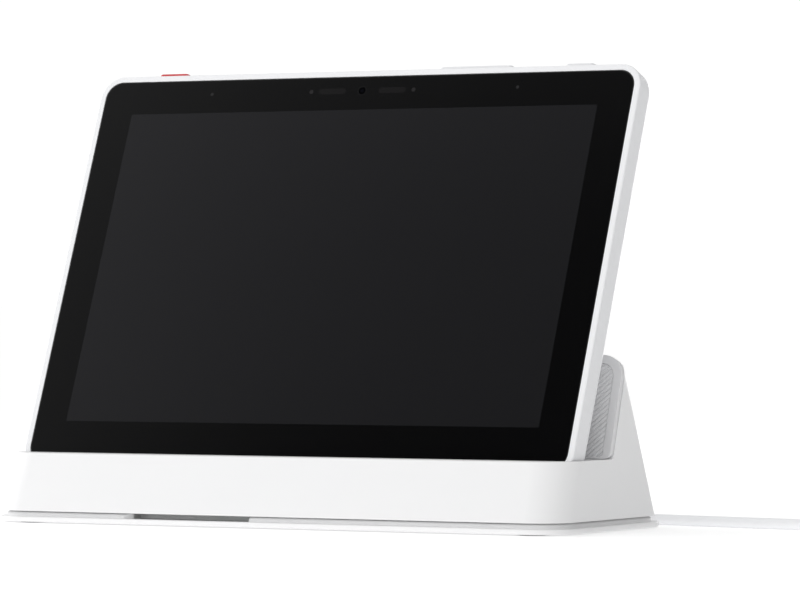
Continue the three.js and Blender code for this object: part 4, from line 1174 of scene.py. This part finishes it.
foot_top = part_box("foot_1")[1].z
foot_profile = [(0.01, 0.12), (0.3, 0.12), (1.0, 0.12), (1.15, 0.0), (2.1, 0.0), (2.25, 0.12), (2.6, 0.12),
                (2.75, 0.0), (4.4, 0.0), (4.75, 0.06), (4.93, 0.2), (5.0, 0.4)]
foot_profile = [(radius * MM, level * MM) for radius, level in foot_profile]
foot_profile += [(5 * MM, foot_top), (0.01 * MM, foot_top)]
for i, (x, y) in enumerate(foot_places, 1):
    foot = turned(f"rubber_foot_{i}", foot_profile, lambda u, v, z: Vector((x + u, y + v, z)))
    finish_piece(foot, "dock", foot_grey, [f"foot_{i}"])

# %% [markdown]
# ## Screws
# Eight pan-head screws hold the dock and the board. They are alike in all but size, so one Geometry Nodes
# tree puts a turned screw with a cross recess on each point of a small mesh that holds nothing but their
# places.

# %% Screws from one tree
screwed, given, out = geometry_tree("screws on points", [("Screw", "Object"), ("Material", "Material")])
pattern = geo(screwed, "ObjectInfo", {"Object": given["Screw"]}).outputs["Geometry"]
copies = geo(screwed, "InstanceOnPoints", {"Points": given["Geometry"], "Instance": pattern}).outputs[0]
real = geo(screwed, "RealizeInstances", {"Geometry": copies}).outputs[0]
looked = geo(screwed, "SetMaterial", {"Geometry": real, "Material": given["Material"]}).outputs[0]
screwed.links.new(looked, out.inputs[0])


def screw_set(name, places, head, head_height, shank, length, body, nodes, orient):
    """Screws at (x, y, level under the head), heads downwards, turned by orient into the row frame."""
    thread = 0.5 * MM
    profile = [(0.01 * MM, -head_height), (head * 0.75, -head_height), (head * 0.93, -head_height * 0.75),
               (head, -head_height * 0.4), (head, 0), (shank, 0)]
    ridge = shank * 0.82
    turns = int(length / thread) - 1
    for k in range(1, turns):
        profile += [(ridge, (k - 0.25) * thread), (shank, k * thread)]
    profile += [(ridge, length - shank * 0.5), (0.01 * MM, length)]
    pattern = turned(name + "_pattern", profile, upright, 20)
    arm = head * 0.55
    cross = [prism(rounded_rect(w, h, 0.05 * MM, steps=1), -head_height - MM, -head_height * 0.45)
             for w, h in ((2 * arm, head * 0.28), (head * 0.28, 2 * arm))]
    carve(pattern, cross)
    data = bpy.data.meshes.new(name)
    data.from_pydata([tuple(p) for p in places], [], [])
    screws = bpy.data.objects.new(name, data)
    scene.collection.objects.link(screws)
    grow(screws, screwed, {"Screw": pattern, "Material": steel})
    bpy.data.objects.remove(pattern)
    orient(screws)
    return finish_piece(screws, body, steel, nodes)


base_screw_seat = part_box("base_screw_1")[0].z + 1.2 * MM
base_screws = [(x, y, base_screw_seat) for x, y in screw_places]
screw_set("base_screws", base_screws, 2.5 * MM, 1.2 * MM, 1.25 * MM, 7 * MM,
          "dock", [f"base_screw_{i}" for i in range(1, 5)], lambda piece: None)
board_screws = []
for i in range(1, 5):
    spans = [reach(f"board_screw_{i}", axis) for axis in (RIGHT, UP, OUT)]
    board_screws.append((sum(spans[0]) / 2, sum(spans[1]) / 2 - display_centre.dot(UP),
                         spans[2][0] - glass_level + 0.9 * MM))
screw_set("board_screws", board_screws, 1.9 * MM, 0.9 * MM, 0.8 * MM, 3.6 * MM,
          "display", [f"board_screw_{i}" for i in range(1, 5)], seat)

# %% [markdown]
# ## What is on the cord
# Where the cord leaves the dock, a tapered strain relief with ring grooves lets it bend without kinking.
# At its far end is a flat plug in a moulded grip, with a relief of its own. A hook-and-loop strap holds
# the coil together.

# %% Strain relief
relief_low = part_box("strain_relief")[0].y
dock_face = dock_back - (EXIT_UP - dock_bottom) * BACK_SLOPE
flange_end = relief_low + 1.4 * MM
relief_profile = [(0.0, relief_low), (4.4, relief_low), (4.4, flange_end), (3.45, flange_end),
                  (3.45, dock_face + 0.9 * MM), (3.3, dock_face + 1.3 * MM)]
RELIEF_END = 48.8 * MM
GROOVES = 6
groove_start = dock_face + 2 * MM
groove_step = (RELIEF_END - 0.9 * MM - groove_start) / GROOVES
for k in range(GROOVES):
    wide = 3.2 - 0.75 * k / GROOVES
    low = groove_start + k * groove_step
    relief_profile += [(wide, low), (wide - 0.04, low + groove_step * 0.5),
                       (wide - 0.42, low + groove_step * 0.58), (wide - 0.44, low + groove_step * 0.9)]
relief_profile += [(2.45, RELIEF_END - 0.6 * MM), (2.3, RELIEF_END - 0.15 * MM),
                   (2.0, RELIEF_END), (0.0, RELIEF_END)]
strain_relief = turned("cord_strain_relief", [(r * MM, y) for r, y in relief_profile],
                       lambda x, z, y: Vector((x, y, EXIT_UP + z)), 32)
finish_piece(strain_relief, "dock", jacket_white, ["strain_relief"])

# %% Plug grip and plug shell
tail_end = Vector((line[-1].x, line[-1].y, 0))
heading = Vector((line[-1].x - line[-2].x, line[-1].y - line[-2].y, 0)).normalized()
aside = Vector((0, 0, 1)).cross(heading)


def on_plug(across, height, along):
    return tail_end + heading * along + aside * across + Vector((0, 0, height))


RELIEF_LENGTH = 11.3 * MM
GRIP_END = 32.3 * MM
PLUG_MIDDLE = 4 * MM
relief_rings = []
for k in range(25):
    share = k / 24
    grooved = 0.45 * MM * (k % 4 in (2, 3)) * (2 < k < 22)
    width = (4.6 + 1.8 * share) * MM - 2 * grooved
    height = (4.4 + 1.6 * share) * MM - 2 * grooved
    middle = (2.25 + 1.75 * share) * MM
    ring = rounded_rect(width, height, height / 2.1, 0, middle, 8)
    relief_rings.append((RELIEF_LENGTH * share - 0.2 * MM, ring))
plug_grip = loft("plug_grip", relief_rings, on_plug)


def grip_shape(inset):
    return rounded_rect(15.6 * MM - 2 * inset, 8 * MM - 2 * inset, 2.2 * MM - inset, 0, PLUG_MIDDLE)


grip = slab("grip", grip_shape, RELIEF_LENGTH - 0.3 * MM, GRIP_END, 1.3 * MM, 0.5 * MM, on_plug)
carve(plug_grip, [grip], "UNION")
finger_grooves = []
for side in (-1, 1):
    groove = rounded_rect(9 * MM, 0.6 * MM, 0.25 * MM, 0, side * 4 * MM + PLUG_MIDDLE, 4)
    finger_grooves += [prism(groove, (16 + 2.4 * k) * MM, (17.1 + 2.4 * k) * MM, on_plug) for k in range(4)]
carve(plug_grip, finger_grooves)
finish_piece(plug_grip, "dock", jacket_white, ["plug_body"])

SHELL_START, SHELL_END = 32.45 * MM, 51.1 * MM


def through_plug(across, along, height):
    return on_plug(across, height, along)


sleeve_shape = rounded_rect(12 * MM, 4.5 * MM, 0.5 * MM, 0, PLUG_MIDDLE, 4)
plug_sleeve = loft("plug_sleeve", [(SHELL_START, sleeve_shape), (SHELL_END, sleeve_shape)], on_plug)
mouth_shape = rounded_rect(11.2 * MM, 3.7 * MM, 0.3 * MM, 0, PLUG_MIDDLE, 4)
mouth = prism(mouth_shape, SHELL_START + MM, SHELL_END + MM, on_plug)
latches = []
for x in (-2.9 * MM, 2.9 * MM):
    latch = rounded_rect(2 * MM, 2.4 * MM, 0.3 * MM, x, SHELL_START + 9 * MM, 3)
    latches.append(prism(latch, PLUG_MIDDLE - 4 * MM, PLUG_MIDDLE + 4 * MM, through_plug))
carve(plug_sleeve, [mouth, *latches])
tongue_shape = rounded_rect(10.6 * MM, 1.8 * MM, 0.2 * MM, 0, PLUG_MIDDLE + 0.9 * MM, 3)
tongue = prism(tongue_shape, SHELL_START + 0.5 * MM, SHELL_END - 0.6 * MM, on_plug)
carve(plug_sleeve, [tongue], "UNION")
finish_piece(plug_sleeve, "dock", steel, ["plug_shell"])

# %% Strap round the coil
outward = Vector((math.cos(TIE_ANGLE), math.sin(TIE_ANGLE), 0))
round_coil = Vector((0, 0, 1)).cross(outward)
strap_centre = Vector((COIL_X, COIL_Y, 0)) * MM + outward * COIL_RADIUS * MM
strap_top = (LYING + LAYER_STEP + LYING + TIE_LIFT + 0.1) * MM
strap_half = (COIL_WIDTH / 2 + 0.35) * MM
THICK = TIE_THICKNESS * MM


def on_strap(away, z, across):
    return strap_centre + outward * away + round_coil * across + Vector((0, 0, z))


def over_strap(away, across, z):
    return on_strap(away, z, across)


strap_middle = (strap_top + THICK) / 2
strap_outside = rounded_rect(2 * (strap_half + THICK), strap_top + THICK, 1.9 * MM, 0, strap_middle)
cord_strap = loft("cord_strap", [(side * TIE_WIDTH / 2 * MM, strap_outside) for side in (-1, 1)], on_strap)
strap_inside = rounded_rect(2 * strap_half, strap_top - THICK, 1.4 * MM, 0, strap_middle)
carve(cord_strap, [prism(strap_inside, -TIE_WIDTH * MM, TIE_WIDTH * MM, on_strap)])
overlap = rounded_rect(13 * MM, TIE_WIDTH * 0.94 * MM, 1.5 * MM, 2 * MM, 0, 6)
strap_end = prism(overlap, strap_top + THICK * 0.6, strap_top + THICK * 1.6, over_strap)
carve(cord_strap, [strap_end], "UNION")
soften(cord_strap, 0.12 * MM, 2)
finish_piece(cord_strap, "dock", strap_pile, ["cord_tie"])

# %% [markdown]
# ## What the casings hide
# The screen panel, chassis, boards, battery, speakers and contacts are already the right shape in the
# working model, so they stay, and only get their finishes. The contacts show when the display is lifted
# out, so they are gold.

# %% Finishes for the inner parts
inner_looks = {
    board_green: ["sos_button_board", "volume_key_board", "power_button_board", "main_board", "dock_board",
                  "sensor_board_left", "sensor_board_right"],
    shield_grey: ["lcd_panel", "battery"],
    plate_steel: ["chassis_plate", "counterweight"],
    inner_black: ["camera_module", "speaker_left", "speaker_right", "contact_carrier", "pin_block"],
    steel: ["microphone_left", "microphone_right"],
    gold: [f"{kind}_{i}" for kind in ("charge_pad", "contact_pin") for i in range(1, 5)],
}
for look, names in inner_looks.items():
    for name in names:
        mesh = frame["nodes"][name].data
        mesh.materials.clear()
        mesh.materials.append(look)
print("inner parts:", sum(len(names) for names in inner_looks.values()))

supply_cord.data.materials.append(jacket_white)
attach(supply_cord, "dock")
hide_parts("power_cord", "cord_tail", "cord_coil")
